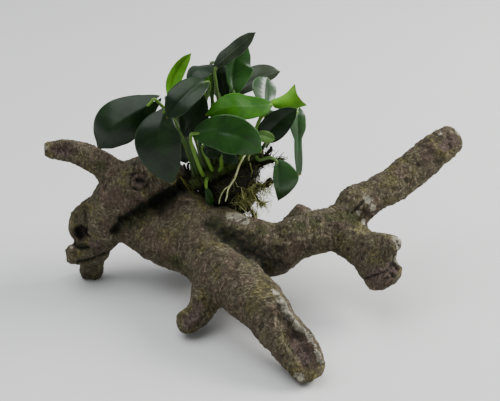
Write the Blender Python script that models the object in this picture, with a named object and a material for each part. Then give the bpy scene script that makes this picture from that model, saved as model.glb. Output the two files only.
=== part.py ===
"""An anubias plant rooted on a branched piece of driftwood, modelled at its real size.

The wood is one union of limbs that is then sawn at its main forks, so each limb is a
solid of its own. The plant is a creeping rhizome on a pad of roots, with leaves that
each have their own stem, and a few loose roots. +Z is up and the feet stand on Z = 0.
"""

import math

import bmesh
import bpy
from mathutils import Matrix, Vector, noise
from mathutils.bvhtree import BVHTree

MM = 0.001
ORIGIN = Vector((2.0, -27.0, 0.0))  # the middle of the object's footprint, in the sketch's millimetres
GAP = 0.3                           # free space between neighbouring solids, in mm

# The limbs of the wood. Each station is x, y, z and radius in mm: x to the right, y to the
# back and z up, before the origin is taken off.
LIMBS = {
    "left_limb": [(-50, 22, 74, 13), (-64, 18, 77, 18.5), (-79, 15, 74.5, 22.5), (-92.5, 10, 62, 22.3),
                  (-104.5, 7, 48, 19), (-112.5, 5, 34, 13.2), (-116.5, 6, 19, 9.6), (-119.5, 8, 1.5, 9)],
    "left_lobe": [(-108, 9, 62, 9), (-116, 8, 56, 10), (-122, 6, 48, 11), (-124, 5, 39, 9)],
    "left_toe": [(-106, 3, 28, 9.5), (-119, -2, 27, 8.8), (-132, -5, 26.5, 7.8)],
    "left_horn": [(-93, 13, 78.5, 12), (-102, 14, 87, 10.5), (-110, 16, 93.5, 9.4), (-119, 17, 98, 9),
                  (-129, 18, 100, 8.3), (-138, 19, 100.5, 7.2), (-146.5, 20, 100, 5.6)],
    "trunk": [(-50, 14, 58, 18), (-45, 5, 54, 21), (-41, -7, 47, 23.5), (-27, -26, 38, 22.5), (-5, -62, 36, 18.8)],
    "trunk_lobe": [(-92, 8, 42, 9), (-84, 4, 42, 12.5), (-72, -2, 42, 16.5), (-52, -10, 42, 20.3),
                   (-36, -16, 41, 20.5)],
    "trunk_saddle": [(-64, 20, 51, 15), (-46, 23, 42, 15), (-28, 20, 34, 15), (-12, 12, 34, 14)],
    "rim_lump": [(-18, -8, 55, 6), (-11, -10, 57, 7.5), (-4, -13, 54, 6)],
    "front_leg": [(-22, -36, 37, 19), (-5, -62, 36, 18.8), (12.5, -82, 29.5, 16.4), (26, -99, 20.5, 14.6),
                  (34.5, -109, 13, 13.2), (39, -114, 5, 11.5)],
    "middle_leg": [(-26, -42, 30, 13), (-30, -49, 24, 12), (-32.5, -56, 17.5, 10.6), (-38.5, -63.5, 13, 9.8),
                   (-46.5, -69, 12, 8.2)],
    "right_arm": [(-30, -4, 50, 17), (-4, -14, 45.5, 17.5), (15, -22, 42.5, 18.5), (35, -22, 51.5, 15.5),
                  (53, -18, 56.5, 15.2), (65, -16, 58.5, 14.6)],
    "upper_branch": [(60, -17, 57, 13.6), (67, -13, 62, 13.2), (78, -8, 70, 12.6), (93, 0, 77, 12.4),
                     (112, 10, 86, 12.6), (133, 20, 99.8, 12.2), (146, 26.5, 108, 10.2)],
    "branch_bump": [(65, -8, 72.5, 6), (72, -4, 77.5, 7.2), (82, 0, 79.5, 5.5)],
    "lower_fork": [(58, -16, 57, 13), (67, -20, 52.3, 13.6), (79, -30, 48.5, 14), (91, -42, 45.5, 16.5)],
    "fork_upper_knob": [(84, -36, 52, 12), (92, -42, 58, 10), (100, -46, 61, 7.6)],
    "fork_side_knob": [(86, -40, 45, 12), (95, -46, 41, 10), (101, -50, 39, 8)],
    "fork_low_knob": [(83, -38, 43.5, 12), (88, -45, 37.5, 10), (90.5, -50, 30.5, 8.8)],
    "rear_leg": [(-30, -2, 42, 15), (-15, 13, 30, 15), (-2, 28, 19, 13.5), (12, 40, 10.5, 11.8),
                 (25, 48, 8.2, 10.6), (36, 56, 17, 10), (43, 61, 26, 9)],
}

# Hollows sunk into the wood and, with a depth below nought, knobs raised on it: x, y, z, radius
# and depth in mm.
RELIEF = {
    "horn_recess": [(-137, 12, 104, 5, 2), (-133, 12, 104, 6, 2.4), (-128, 11, 103, 5, 2)],
    "hole_in_lobe": [(-123, -4, 48, 4.5, 5), (-123, -4, 43, 5, 6)],
    "eye_knot": [(-79, -1, 86, 4.5, 3), (-73, -1, 87, 5, -1.6), (-85, -2, 85, 5, -1.8)],
    "limb_pits": [(-92, -8, 77, 5, 1.6), (-67, 2, 88, 5, 1.6), (-104, -1, 79, 5, -1.4)],
    "limb_crease": [(-58, 3, 75, 5, 3), (-66, -2, 71, 5.5, 3.4), (-77, -9, 67, 5.5, 3.4), (-88, -12, 61, 5, 3),
                    (-96, -12, 52, 4, 2.4)],
    "arm_hollow": [(-28, -22, 62, 5, 1), (-18, -29, 57, 6, 2), (-7, -39, 53, 6, 2.2), (3, -53, 52, 5, 2),
                   (10, -56, 47, 4, 1.4)],
    "foot_creases": [(-122, -7, 35, 3.2, 1.8), (-120, -10, 24.5, 3, 1.6), (-114, -10, 25.5, 3, 1.8)],
    "front_leg_trough": [(26, -99, 36, 4.5, 2.2), (30, -108, 31, 5.5, 3), (35, -116, 24, 5.5, 3.2), (39, -121, 17, 4.5, 2)],
    "front_leg_right_edge": [(22, -86, 43, 3.5, -1.4), (27, -93, 38, 3.5, -1.8), (32, -97, 33, 3.5, -2),
                             (38, -101, 28, 3.5, -2), (43, -107, 23, 3.5, -2), (46, -114, 17, 3.5, -1.6)],
    "front_leg_left_edge": [(13, -92, 42, 3.5, -1.4), (15, -101, 36, 3.5, -1.2), (18, -111, 26, 3.5, -1)],
    "fork_notch": [(103, -49, 52, 6, 3.5), (97, -54, 50, 5, 1.6), (103, -47, 62, 4, -1.2)],
    "branch_pits": [(113, -4, 85, 3.5, 1.8), (122, 1, 91, 3.5, 1.8), (131, 6, 97, 3.5, 1.8), (99, -8, 76, 4, 1.6)],
    "trunk_furrow": [(-35, -26, 61, 5, 1.8), (-27, -33, 57, 5, 1.8), (-18, -44, 55, 5, 1.6), (-12, -24, 57, 6, -1.6)],
    "arm_knob": [(60, -28, 66, 5, -1.4), (14, -33, 57, 5, -1.3)],
}

# Saw cuts at the main forks: a point on the cut, its direction and the disc's radius, in mm.
SAW_CUTS = {
    "left_horn": ((-105, 15, 89.5), (-0.8, 0.15, 0.58), 14.5),
    "front_leg": ((-8, -57, 36), (0.54, -0.84, -0.05), 27),
    "middle_leg": ((-33.5, -57.8, 15.5), (-0.45, -0.65, -0.6), 14),
    "right_arm": ((19, -22, 44), (0.96, -0.1, 0.26), 23),
    "upper_branch": ((90, -1.6, 75.6), (0.82, 0.42, 0.4), 18),
    "lower_fork": ((74, -26.5, 50.5), (0.75, -0.63, -0.2), 18),
    "rear_leg": ((-4, 25, 21), (0.62, 0.66, -0.42), 19),
}
# The left limb parts from the trunk along the crease between them: x and z of a bent saw cut that
# runs from the front to the back.
CREASE = [(-20, 106), (-37, 76), (-60, 60), (-84, 53), (-95, 45), (-97.5, 30), (-94, 8)]
CREASE_REACH = 62

# A point near the middle of each sawn piece, to name it by.
PIECE_MIDDLES = {
    "trunk": (-30, -12, 42), "left_limb": (-92, 10, 60), "left_horn": (-125, 17, 98), "front_leg": (15, -88, 25),
    "middle_leg": (-40, -63, 11), "right_arm": (45, -19, 54), "upper_branch": (112, 10, 87),
    "lower_fork": (90, -40, 46), "rear_leg": (18, 44, 14),
}

# The creeping stem that the leaves grow from: x, y, z and radius in mm.
RHIZOME = [(-42, 4, 80, 3.4), (-35, 7.5, 82.5, 4.8), (-22, 12, 87, 5), (-4, 15, 94, 4.8), (9, 18, 100.5, 3.8)]

# The pad of roots under it and the roots that leave it, fused into one body: stations as above.
ROOT_PAD = {
    "middle": [(-32, 14, 62, 12), (-17, 18, 70, 16.5), (-4, 20, 78, 13)],
    "foot": [(-26, 26, 60, 12), (-4, 19, 62, 12)],
    "moss_behind": [(-40, 19, 78, 6.5), (-28, 23, 84, 9), (-10, 26, 90, 9), (5, 24, 93, 7)],
    "moss_left": [(-41, 16, 68, 6), (-45, 18, 77, 6.5), (-46, 20, 81, 5.5)],
    "moss_front": [(-24, 5, 74, 6), (-10, 6, 82, 7), (4, 9, 88, 7)],
    "right_shoulder": [(-6, 18, 72, 11), (6, 16, 70, 6.5)],
    "strand_to_rim": [(-6, 14, 60, 5), (2, 9, 56, 2.6), (4, 7, 46, 1.5)],
    "strand_low_right": [(0, 15, 66, 5), (8, 10, 62, 2.4), (12, 8, 58, 1.5)],
    "strand_right": [(2, 15, 72, 5), (10, 9, 77, 2.2), (17, 7, 84, 1.5)],
    "twig_right": [(0, 18, 84, 4), (10, 10, 96, 2.4), (19, 7, 99, 1.8), (25, 6, 101, 1.4)],
    "twig_up": [(8, 12, 94, 2.4), (13, 8, 104, 1.9), (16, 6, 111, 1.4)],
}
PAD_VOXEL = 1.15
PAD_TRIANGLES = 960
PAD_CLEARANCE = 1.2

# One pale root hangs free in front of the pad.
PALE_ROOT = [(-1, 8.5, 98, 0.9), (0, -4, 110, 1.1), (-5, -13, 111, 1.1), (-10, -14, 97, 1.0), (-15, -14, 88, 0.9),
             (-17, -14, 77, 0.7)]

STEM_RADIUS = 1.2
LEAF_THICKNESS = 0.9

# The leaves. "foot" is where the leaf stalk leaves the rhizome, "stalk" the points it runs by and
# "blade" four points along the midrib, from the blade's base to its tip. "face" is where the upper
# side looks, at the base and at the tip. "half" is the width of the two halves, "lift" how far each
# is folded up, in degrees, and "broad" where the blade is broadest, from 0 to 1. "flare" is the width
# at the base, as a share, of a blade that opens out to its end, and "end" keeps a narrow blade's width.
LEAVES = {
    "leaf_left": dict(foot=(-39, 6, 81), stalk=[(-43, 10, 100), (-53, 12, 128), (-61, 10.5, 139.5), (-66, 9.5, 145)],
                      blade=[(-69.5, 8, 141.5), (-83.5, 3, 134.5), (-96.5, -1, 125.5), (-108.5, -3, 111.5)],
                      face=[(0.1, -0.8, 0.6), (-0.1, -0.9, 0.4)], half=(18, 15), lift=(-14, -20), broad=0.52),
    "leaf_front_hanging": dict(foot=(-36, 7, 82), stalk=[(-41, 3, 105), (-48, 0, 132), (-54, -5, 146)],
                               blade=[(-58, -9, 144), (-61, -18, 135), (-60, -23, 121), (-53, -24, 95)],
                               face=[(0, -0.6, 0.8), (0.1, -1, 0.1)], half=(17, 15.5), lift=(-12, -12), broad=0.54),
    "leaf_over_front": dict(foot=(-29, 10, 84.5), stalk=[(-31, 9, 110), (-31, 4, 140), (-27.5, -0.5, 160)],
                            blade=[(-30, -4, 163.5), (-38.5, -12, 161.5), (-47.5, -18, 154.5), (-56, -21, 145.5)],
                            face=[(-0.1, -0.6, 0.7), (-0.3, -0.8, 0.4)], half=(11.5, 10.5), lift=(5, 20), broad=0.5),
    "leaf_yellow_upright": dict(foot=(-33, 9, 83), stalk=[(-41, 18, 105), (-52, 20, 126)],
                                blade=[(-55, 20, 140), (-54, 26, 150), (-48.5, 31, 160), (-40.5, 34, 169)],
                                face=[(0, -0.8, 0.5), (0, -0.9, 0.4)], half=(6.5, 5.5), lift=(30, 30), broad=0.45),
    "leaf_top_left": dict(foot=(-23, 13, 86.5), stalk=[(-24, 28, 118), (-29, 33, 148), (-27, 27, 164)],
                          blade=[(-23, 18, 167), (-30, 11, 168), (-37, 6, 167), (-43, 1, 162)],
                          face=[(-0.3, 0.1, 1), (-0.5, -0.2, 0.8)], half=(9, 8), lift=(10, -25), broad=0.55),
    "leaf_top": dict(foot=(-18, 12, 88.5), stalk=[(-19, 5, 112), (-21, 4, 140), (-23, 4, 159)],
                     blade=[(-23.5, 8, 168.5), (-16, 10, 176), (-7, 11, 183.5), (5, 9, 193)],
                     face=[(-0.5, -0.5, 0.75), (-0.4, -0.5, 0.75)], half=(5, 7.4), lift=(-30, 12), broad=0.5),
    "leaf_tall": dict(foot=(-11, 13, 91), stalk=[(-11, 6, 115), (-10, 5, 138)],
                      blade=[(-11, 7, 151), (-12, 13, 161), (-10, 18, 171), (-1, 22, 180)],
                      face=[(0.1, -0.8, 0.5), (0.3, -0.9, 0.3)], half=(14.5, 6), lift=(10, 25), broad=0.52),
    "leaf_behind_tall": dict(foot=(-17, 14, 89), stalk=[(-16, 12, 115), (-15, 12, 135)],
                             blade=[(-17, 14, 145), (-20, 18, 152), (-21, 22, 159), (-20, 25, 166)],
                             face=[(-0.4, -0.8, 0.4), (-0.4, -0.9, 0.2)], half=(8.5, 4), lift=(20, 20), broad=0.45),
    "leaf_backlit": dict(foot=(-26, 11.5, 85.5), stalk=[(-26, 12, 112), (-26, 12, 145), (-25, 15, 158)],
                         blade=[(-27.5, 20, 161), (-28.5, 21, 154), (-29.8, 20, 148), (-30, 18, 141)],
                         face=[(-0.1, 0.9, 0.4), (0, 1, 0.2)], half=(5, 4.5), lift=(15, 15), broad=0.4),
    "leaf_right_back": dict(foot=(-8, 16, 92.5), stalk=[(-8, 23, 116), (-9, 25, 132)],
                            blade=[(-8, 26, 142.5), (1, 34, 147), (11, 40, 149.5), (22, 44, 151.5)],
                            face=[(-0.3, -0.7, 0.7), (-0.2, -0.8, 0.6)], half=(6, 11), lift=(-20, 5), broad=0.42),
    "leaf_pale_gloss": dict(foot=(0, 17, 96.5), stalk=[(4, 19, 115), (8, 17, 130)],
                            blade=[(10, 16, 138), (10.5, 22, 143), (11, 28, 148), (12.5, 32, 152)],
                            face=[(0.4, -0.5, 0.8), (0.45, -0.6, 0.7)], half=(8.5, 10), lift=(12, 5), broad=0.5),
    "leaf_bright_curled": dict(foot=(5, 17, 98.5), stalk=[(9, 12, 120), (12, 9, 136)],
                               blade=[(15, 8, 142), (22, 9, 142.7), (29, 10, 144.5), (35.7, 11, 148.2)],
                               face=[(0, -0.8, 0.6), (0, -0.87, 0.5)], half=(8.4, 8.8), lift=(0, 0), broad=0.9,
                               flare=0.3),
    "leaf_bright_middle": dict(foot=(-3, 15, 94.5), stalk=[(2, 7, 115), (6, 5, 130), (12, 3, 140)],
                               blade=[(14, 1, 144.7), (1, -6, 146.7), (-13, -12, 149.2), (-30, -15, 145.2)],
                               face=[(0.1, -0.6, 0.8), (0, -0.8, 0.6)], half=(10.5, 9), lift=(-6, -6), broad=0.5),
    "leaf_front": dict(foot=(-32, 9, 83.5), stalk=[(-35, -1, 96), (-40, -5, 116), (-40, -11, 128)],
                       blade=[(-36, -15.5, 131), (-20, -24, 137), (-5, -29, 135), (9, -30, 124)],
                       face=[(-0.2, -0.9, 0.5), (0.2, -0.9, 0.4)], half=(14, 12), lift=(8, 8), broad=0.5),
    "leaf_right_dark": dict(foot=(7, 17.5, 99.5), stalk=[(10, 14, 107), (11, 9, 112)],
                            blade=[(9, 4, 118), (15, 2, 126), (23, 0, 135), (31, -3, 143)],
                            face=[(-0.4, -0.9, 0.2), (-0.4, -0.9, 0.1)], half=(10, 9.3), lift=(15, 15), broad=0.42),
    "leaf_right_hanging": dict(foot=(8.5, 18, 100.5), stalk=[(17, 20, 112), (27, 18, 127), (32, 14, 135)],
                               blade=[(32.5, 8, 135.5), (33, 3, 128), (33.5, -2, 114), (34.5, -5, 93)],
                               face=[(0.4, -0.6, 0.7), (0.6, -0.8, 0)], half=(7.5, 6.5), lift=(15, 15), broad=0.28,
                               end=0.36),
    "leaf_right_low": dict(foot=(3, 16.5, 97.5), stalk=[(7, 7, 99), (14, 3, 103)],
                           blade=[(18.8, 0, 101), (20, -4, 92), (20.6, -6.5, 83), (20.3, -7.5, 72.6)],
                           face=[(0.1, -0.7, 0.7), (0.2, -0.9, 0.1)], half=(4.8, 14.6), lift=(20, 8), broad=0.4),
    "leaf_small_curled": dict(foot=(-7, 14.5, 93), stalk=[(-5, 3, 110), (-2, -6, 123)],
                              blade=[(2, -11, 128), (7, -12, 128.5), (12, -12, 127), (16, -11, 124.5)],
                              face=[(-0.1, -0.8, 0.5), (0.3, -0.8, 0.3)], half=(5, 3.5), lift=(15, 15), broad=0.6),
    "leaf_shaded_left": dict(foot=(-30, 9.5, 84), stalk=[(-35, 14, 106), (-37, 14, 132), (-35, 9, 148)],
                             blade=[(-34, 4, 151), (-38, 0, 142), (-41, -3, 133), (-46, -4, 122)],
                             face=[(0, -0.8, 0.5), (-0.2, -1, 0.2)], half=(9, 12), lift=(15, 15), broad=0.5),
    "leaf_shaded_middle": dict(foot=(-26, 11, 85.5), stalk=[(-29, 4, 98), (-33, 3, 109)],
                               blade=[(-32, -1, 114.5), (-28, -4, 114), (-24, -6, 112), (-20, -7, 109)],
                               face=[(-0.2, -0.8, 0.6), (-0.3, -0.7, 0.6)], half=(6, 6), lift=(10, 10), broad=0.5),
    "leaf_shaded_low": dict(foot=(-37, 7.5, 82), stalk=[(-42, 20, 92), (-48, 23, 108)],
                            blade=[(-47.5, 18.5, 113), (-47, 17, 105.5), (-46.5, 16, 98), (-46, 15.5, 91)],
                            face=[(0, -1, 0.3), (0, -1, 0)], half=(7, 6), lift=(10, 10), broad=0.5),
    "leaf_new": dict(foot=(-30, 9.5, 84), stalk=[(-31, 1, 86)],
                     blade=[(-31, -2, 82), (-29.5, -3, 77), (-28.5, -3.5, 72), (-27, -3.5, 68)],
                     face=[(0, -0.9, 0.5), (0, -1, 0)], half=(3, 3.4), lift=(30, 30), broad=0.5),
    "leaf_under_front": dict(foot=(-22, 12, 87), stalk=[(-20, 1, 97), (-20, -8, 107)],
                             blade=[(-19, -13, 112.5), (-16, -15, 113), (-12, -16, 112), (-8, -16.5, 109.5)],
                             face=[(-0.3, -0.8, 0.6), (0.3, -0.9, 0.4)], half=(4, 3.5), lift=(10, 10), broad=0.5),
    "leaf_back_left": dict(foot=(-32, 9.5, 83.5), stalk=[(-38, 28, 100), (-45, 36, 118)],
                           blade=[(-45, 40, 127), (-49, 48, 129), (-53, 56, 124), (-57, 62, 114)],
                           face=[(0, 0.3, 1), (-0.3, 0.7, 0.6)], half=(12, 12), lift=(12, 12), broad=0.45),
    "leaf_back_middle": dict(foot=(-14, 14, 90), stalk=[(-15, 32, 108), (-14, 38, 124)],
                             blade=[(-14, 43, 131), (-15, 52, 133), (-17, 61, 128), (-19, 68, 116)],
                             face=[(0, 0.2, 1), (0, 0.8, 0.6)], half=(13, 13), lift=(12, 12), broad=0.45),
    "leaf_back_high": dict(foot=(-24, 12, 86.5), stalk=[(-20, 36, 112), (-22, 42, 132)],
                           blade=[(-28, 37, 145), (-30, 45, 149), (-34, 53, 147), (-37, 60, 140)],
                           face=[(0, 0.2, 1), (-0.1, 0.5, 0.8)], half=(10, 10), lift=(12, 12), broad=0.45),
    "leaf_back_top": dict(foot=(-10, 14, 92), stalk=[(-12, 27, 112), (-13, 31, 135)],
                          blade=[(-13, 35, 153), (-13, 44, 158), (-12, 52, 158), (-12, 58, 153)],
                          face=[(0, -0.1, 1), (0, 0.5, 0.8)], half=(9, 9), lift=(12, 12), broad=0.45),
    "leaf_back_right": dict(foot=(3, 16.5, 97.5), stalk=[(6, 28, 106), (11, 34, 113)],
                            blade=[(13, 38, 117), (17, 45, 118), (20, 52, 114), (22, 57, 105)],
                            face=[(0.2, 0.3, 1), (0.4, 0.8, 0.5)], half=(10, 10), lift=(12, 12), broad=0.45),
}

VOXEL = 2.4             # mm, the grain of the union before it is thinned out
WOOD_TRIANGLES = 3200
RING_SIDES = 20


def sketch(x, y, z):
    """A point of the sketch, in millimetres, as a place in the model, in metres."""
    return (Vector((x, y, z)) - ORIGIN) * MM


def smooth_path(stations, step):
    """Points about step apart on a Catmull-Rom curve through the stations, whose last value is a radius."""
    points = [Vector(s) for s in stations]
    ends = [2 * points[0] - points[1], *points, 2 * points[-1] - points[-2]]
    path = []
    for before, start, end, after in zip(ends, ends[1:], ends[2:], ends[3:]):
        count = max(2, round((end - start).length / step))
        for i in range(count):
            t = i / count
            path.append(0.5 * (2 * start + (end - before) * t
                               + (2 * before - 5 * start + 4 * end - after) * t * t
                               + (3 * start - before - 3 * end + after) * t ** 3))
    path.append(points[-1])
    return path


def frames_along(points):
    """A tangent, a normal and a side vector for each point, without any sudden turn."""
    frames = []
    normal = None
    for i, point in enumerate(points):
        tangent = (points[min(i + 1, len(points) - 1)] - points[max(i - 1, 0)]).normalized()
        if normal is None:
            normal = tangent.orthogonal()
        normal = (normal - tangent * normal.dot(tangent)).normalized()
        frames.append((tangent, normal, tangent.cross(normal)))
    return frames


def loft(rings):
    """A closed mesh over rings of points, with both ends capped."""
    mesh = bmesh.new()
    loops = [[mesh.verts.new(p) for p in ring] for ring in rings]
    sides = len(loops[0])
    for low, high in zip(loops, loops[1:]):
        for i in range(sides):
            j = (i + 1) % sides
            mesh.faces.new((low[i], low[j], high[j], high[i]))
    mesh.faces.new(loops[0][::-1])
    mesh.faces.new(loops[-1])
    bmesh.ops.recalc_face_normals(mesh, faces=mesh.faces)
    return mesh


def object_from(mesh, name):
    data = bpy.data.meshes.new(name)
    mesh.to_mesh(data)
    mesh.free()
    made = bpy.data.objects.new(name, data)
    bpy.context.scene.collection.objects.link(made)
    return made


def settle(piece):
    """The piece's modifiers made part of its mesh."""
    graph = bpy.context.evaluated_depsgraph_get()
    settled = bpy.data.meshes.new_from_object(piece.evaluated_get(graph))
    piece.modifiers.clear()
    piece.data = settled


def limb_mesh(stations, seed):
    """One limb as a lofted tube, a little out of round, with blunt rounded ends."""
    path = smooth_path(stations, 4.0)
    centres = [Vector(p[:3]) for p in path]
    frames = frames_along(centres)
    rings = []

    def ring(centre, frame, radius, place):
        points = []
        for k in range(RING_SIDES):
            angle = 2 * math.pi * k / RING_SIDES
            out = frame[1] * math.cos(angle) + frame[2] * math.sin(angle)
            lump = noise.noise(Vector((math.cos(angle) * 0.9 + seed * 7.1, math.sin(angle) * 0.9, place * 0.05)))
            points.append(sketch(*(centre + out * radius * (1 + 0.16 * lump))))
        return points

    first, last = frames[0], frames[-1]
    for inset, shrink in ((0.30, 0.45), (0.16, 0.80)):
        rings.append(ring(centres[0] - first[0] * path[0][3] * (0.30 - inset), first, path[0][3] * shrink, 0))
    for i, (centre, frame) in enumerate(zip(centres, frames)):
        rings.append(ring(centre + frame[0] * (0.30 * path[0][3] if i == 0 else 0), frame, path[i][3], i * 4.0))
    end = len(centres) * 4.0
    for reach, shrink in ((0.22, 0.86), (0.34, 0.5)):
        rings.append(ring(centres[-1] + last[0] * path[-1][3] * reach, last, path[-1][3] * shrink, end))
    return loft(rings)


def material(name, colour, roughness):
    made = bpy.data.materials.new(name)
    made.use_nodes = True
    shader = made.node_tree.nodes["Principled BSDF"]
    shader.inputs["Base Color"].default_value = (*colour, 1)
    shader.inputs["Roughness"].default_value = roughness
    return made


def union_of(bodies, voxel, rounds):
    """The bodies as one closed skin, its edges softened."""
    together = bmesh.new()
    for seed, stations in enumerate(bodies.values()):
        body = limb_mesh(stations, seed)
        part = bpy.data.meshes.new("body")
        body.to_mesh(part)
        body.free()
        together.from_mesh(part)
        bpy.data.meshes.remove(part)
    made = object_from(together, "union")
    remesh = made.modifiers.new("Union", "REMESH")
    remesh.mode = "VOXEL"
    remesh.voxel_size = voxel * MM
    blend = made.modifiers.new("Soften", "SMOOTH")
    blend.factor = 0.5
    blend.iterations = rounds
    settle(made)
    return made


def carve(wood):
    """The named hollows and knobs, and a low bark relief over everything."""
    spots = [(sketch(*s[:3]), s[3] * MM, s[4] * MM) for group in RELIEF.values() for s in group]
    places = [v.co.copy() for v in wood.data.vertices]
    normals = [v.normal.copy() for v in wood.data.vertices]
    for vertex, place, normal in zip(wood.data.vertices, places, normals):
        shift = 0.7 * MM * noise.noise(place * 95) + 0.5 * MM * noise.noise(place * 210)
        for middle, radius, depth in spots:
            away = (place - middle).length / (1.5 * radius)
            if away < 1:
                shift -= depth * (1 - away * away) ** 2
        vertex.co = place + normal * shift


def thin_out(piece, triangles):
    """The same shape with about this many triangles."""
    piece.data.update()
    modifier = piece.modifiers.new("Thin", "DECIMATE")
    corners = sum(len(p.vertices) - 2 for p in piece.data.polygons)
    modifier.ratio = triangles / corners
    settle(piece)


def stand_flat(piece):
    """The feet cut level where they meet the floor."""
    mesh = bmesh.new()
    mesh.from_mesh(piece.data)
    everything = mesh.verts[:] + mesh.edges[:] + mesh.faces[:]
    cut = bmesh.ops.bisect_plane(mesh, geom=everything, dist=1e-7, plane_co=(0, 0, 0), plane_no=(0, 0, 1),
                                 clear_inner=True)
    rims = [e for e in cut["geom_cut"] if isinstance(e, bmesh.types.BMEdge)]
    bmesh.ops.holes_fill(mesh, edges=rims, sides=0)
    bmesh.ops.recalc_face_normals(mesh, faces=mesh.faces)
    mesh.to_mesh(piece.data)
    mesh.free()


def cut_away(piece, cutter):
    """The cutter taken out of the piece."""
    modifier = piece.modifiers.new("Cut", "BOOLEAN")
    modifier.operation = "DIFFERENCE"
    modifier.solver = "EXACT"
    modifier.object = cutter
    settle(piece)
    bpy.data.objects.remove(cutter)


def saw_disc(middle, direction, radius):
    mesh = bmesh.new()
    bmesh.ops.create_cone(mesh, cap_ends=True, segments=24, radius1=radius * MM, radius2=radius * MM, depth=GAP * MM)
    disc = object_from(mesh, "disc")
    turn = Vector(direction).to_track_quat("Z", "Y")
    disc.data.transform(turn.to_matrix().to_4x4())
    disc.data.transform(Matrix.Translation(sketch(*middle)))
    return disc


def crease_saw():
    """A thin bent sheet along the crease between the left limb and the trunk."""
    rings = []
    for i, (x, z) in enumerate(CREASE):
        before = CREASE[max(i - 1, 0)]
        after = CREASE[min(i + 1, len(CREASE) - 1)]
        along = Vector((after[0] - before[0], after[1] - before[1])).normalized()
        out = Vector((-along.y, along.x)) * GAP / 2
        rings.append([sketch(x + side * out.x, y, z + side * out.y)
                      for side, y in ((1, -CREASE_REACH), (1, CREASE_REACH), (-1, CREASE_REACH), (-1, -CREASE_REACH))])
    return object_from(loft(rings), "sheet")


def tidy(piece):
    """Only triangles, none of them without area."""
    mesh = bmesh.new()
    mesh.from_mesh(piece.data)
    bmesh.ops.remove_doubles(mesh, verts=mesh.verts, dist=1e-5)
    bmesh.ops.triangulate(mesh, faces=mesh.faces)
    bmesh.ops.dissolve_degenerate(mesh, edges=mesh.edges, dist=2e-5)
    bmesh.ops.triangulate(mesh, faces=mesh.faces)
    seen = {}
    for face in mesh.faces:
        seen.setdefault(frozenset(face.verts), []).append(face)
    twins = [f for pair in seen.values() if len(pair) > 1 for f in pair]
    bmesh.ops.delete(mesh, geom=twins, context="FACES")
    bmesh.ops.recalc_face_normals(mesh, faces=mesh.faces)
    mesh.to_mesh(piece.data)
    mesh.free()


def loose_parts(piece):
    """The separate bodies of a mesh, each as an object of its own, the largest first."""
    mesh = bmesh.new()
    mesh.from_mesh(piece.data)
    made = []
    left = set(mesh.faces)
    while left:
        group = {left.pop()}
        front = list(group)
        while front:
            face = front.pop()
            for link in (f for e in face.edges for f in e.link_faces):
                if link in left:
                    left.remove(link)
                    group.add(link)
                    front.append(link)
        single = bmesh.new()
        twin = {v: single.verts.new(v.co) for f in group for v in f.verts}
        for face in group:
            single.faces.new([twin[v] for v in face.verts])
        made.append(object_from(single, "part"))
    mesh.free()
    bpy.data.objects.remove(piece)
    return sorted(made, key=lambda p: -len(p.data.vertices))


def middle_of(piece):
    points = [v.co for v in piece.data.vertices]
    return sum(points, Vector()) / len(points)


def driftwood():
    """The wood, carved, stood on the floor and sawn into its limbs."""
    wood = union_of(LIMBS, VOXEL, 6)
    carve(wood)
    thin_out(wood, WOOD_TRIANGLES)
    stand_flat(wood)
    whole = wood.data.copy()
    for middle, direction, radius in SAW_CUTS.values():
        cut_away(wood, saw_disc(middle, direction, radius))
    cut_away(wood, crease_saw())
    parts = loose_parts(wood)
    skin = material("driftwood", (0.115, 0.082, 0.048), 0.8)
    for name, middle in PIECE_MIDDLES.items():
        piece = min(parts, key=lambda p: (middle_of(p) - sketch(*middle)).length)
        parts.remove(piece)
        tidy(piece)
        piece.name = name
        piece.data.materials.append(skin)
    return whole


def tube(stations, step, sides, extra=0.0):
    """A plain round tube through the stations, cut square at both ends."""
    path = smooth_path(stations, step)
    centres = [Vector(p[:3]) for p in path]
    rings = []
    for station, centre, frame in zip(path, centres, frames_along(centres)):
        rings.append([sketch(*(centre + (frame[1] * math.cos(a) + frame[2] * math.sin(a)) * (station[3] + extra)))
                      for a in (2 * math.pi * k / sides for k in range(sides))])
    return loft(rings)


def on_curve(points, t):
    """A point on the Catmull-Rom curve through points, with t counted in points from the first."""
    i = min(int(t), len(points) - 2)
    t -= i
    start, end = points[i], points[i + 1]
    before = points[i - 1] if i else 2 * start - end
    after = points[i + 2] if i + 2 < len(points) else 2 * end - start
    return 0.5 * (2 * start + (end - before) * t + (2 * before - 5 * start + 4 * end - after) * t * t
                  + (3 * start - before - 3 * end + after) * t ** 3)


def outline(t, shape):
    """The blade's half width at t from base to tip, as a share of the broadest."""
    if "flare" in shape:
        return shape["flare"] + (1 - shape["flare"]) * t
    power = math.log(0.5) / math.log(shape["broad"])
    share = max(math.sin(math.pi * t ** power), 0) ** 0.64
    return max(share, shape.get("end", 0) * (1 - 0.5 * t ** 12))


def rhizome_near(foot):
    """The closest station of the rhizome to the foot, as a point and a radius."""
    path = smooth_path(RHIZOME, 1.0)
    best = min(path, key=lambda p: (Vector(p[:3]) - Vector(foot)).length)
    return Vector(best[:3]), best[3]


def away_from_rhizome(root, point):
    """The direction from the root towards the point, square to the rhizome there."""
    path = [Vector(p[:3]) for p in smooth_path(RHIZOME, 1.0)]
    i = min(range(len(path)), key=lambda k: (path[k] - root).length)
    along = (path[min(i + 1, len(path) - 1)] - path[max(i - 1, 0)]).normalized()
    way = point - root
    return (way - along * way.dot(along)).normalized()


BLADE_STEPS = (0.05, 0.16, 0.32, 0.5, 0.68, 0.84, 0.95, 1.0)
SECTION = ((-1, 0), (-0.5, 1), (0, 1), (0.5, 1), (1, 0), (0, -1))


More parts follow.
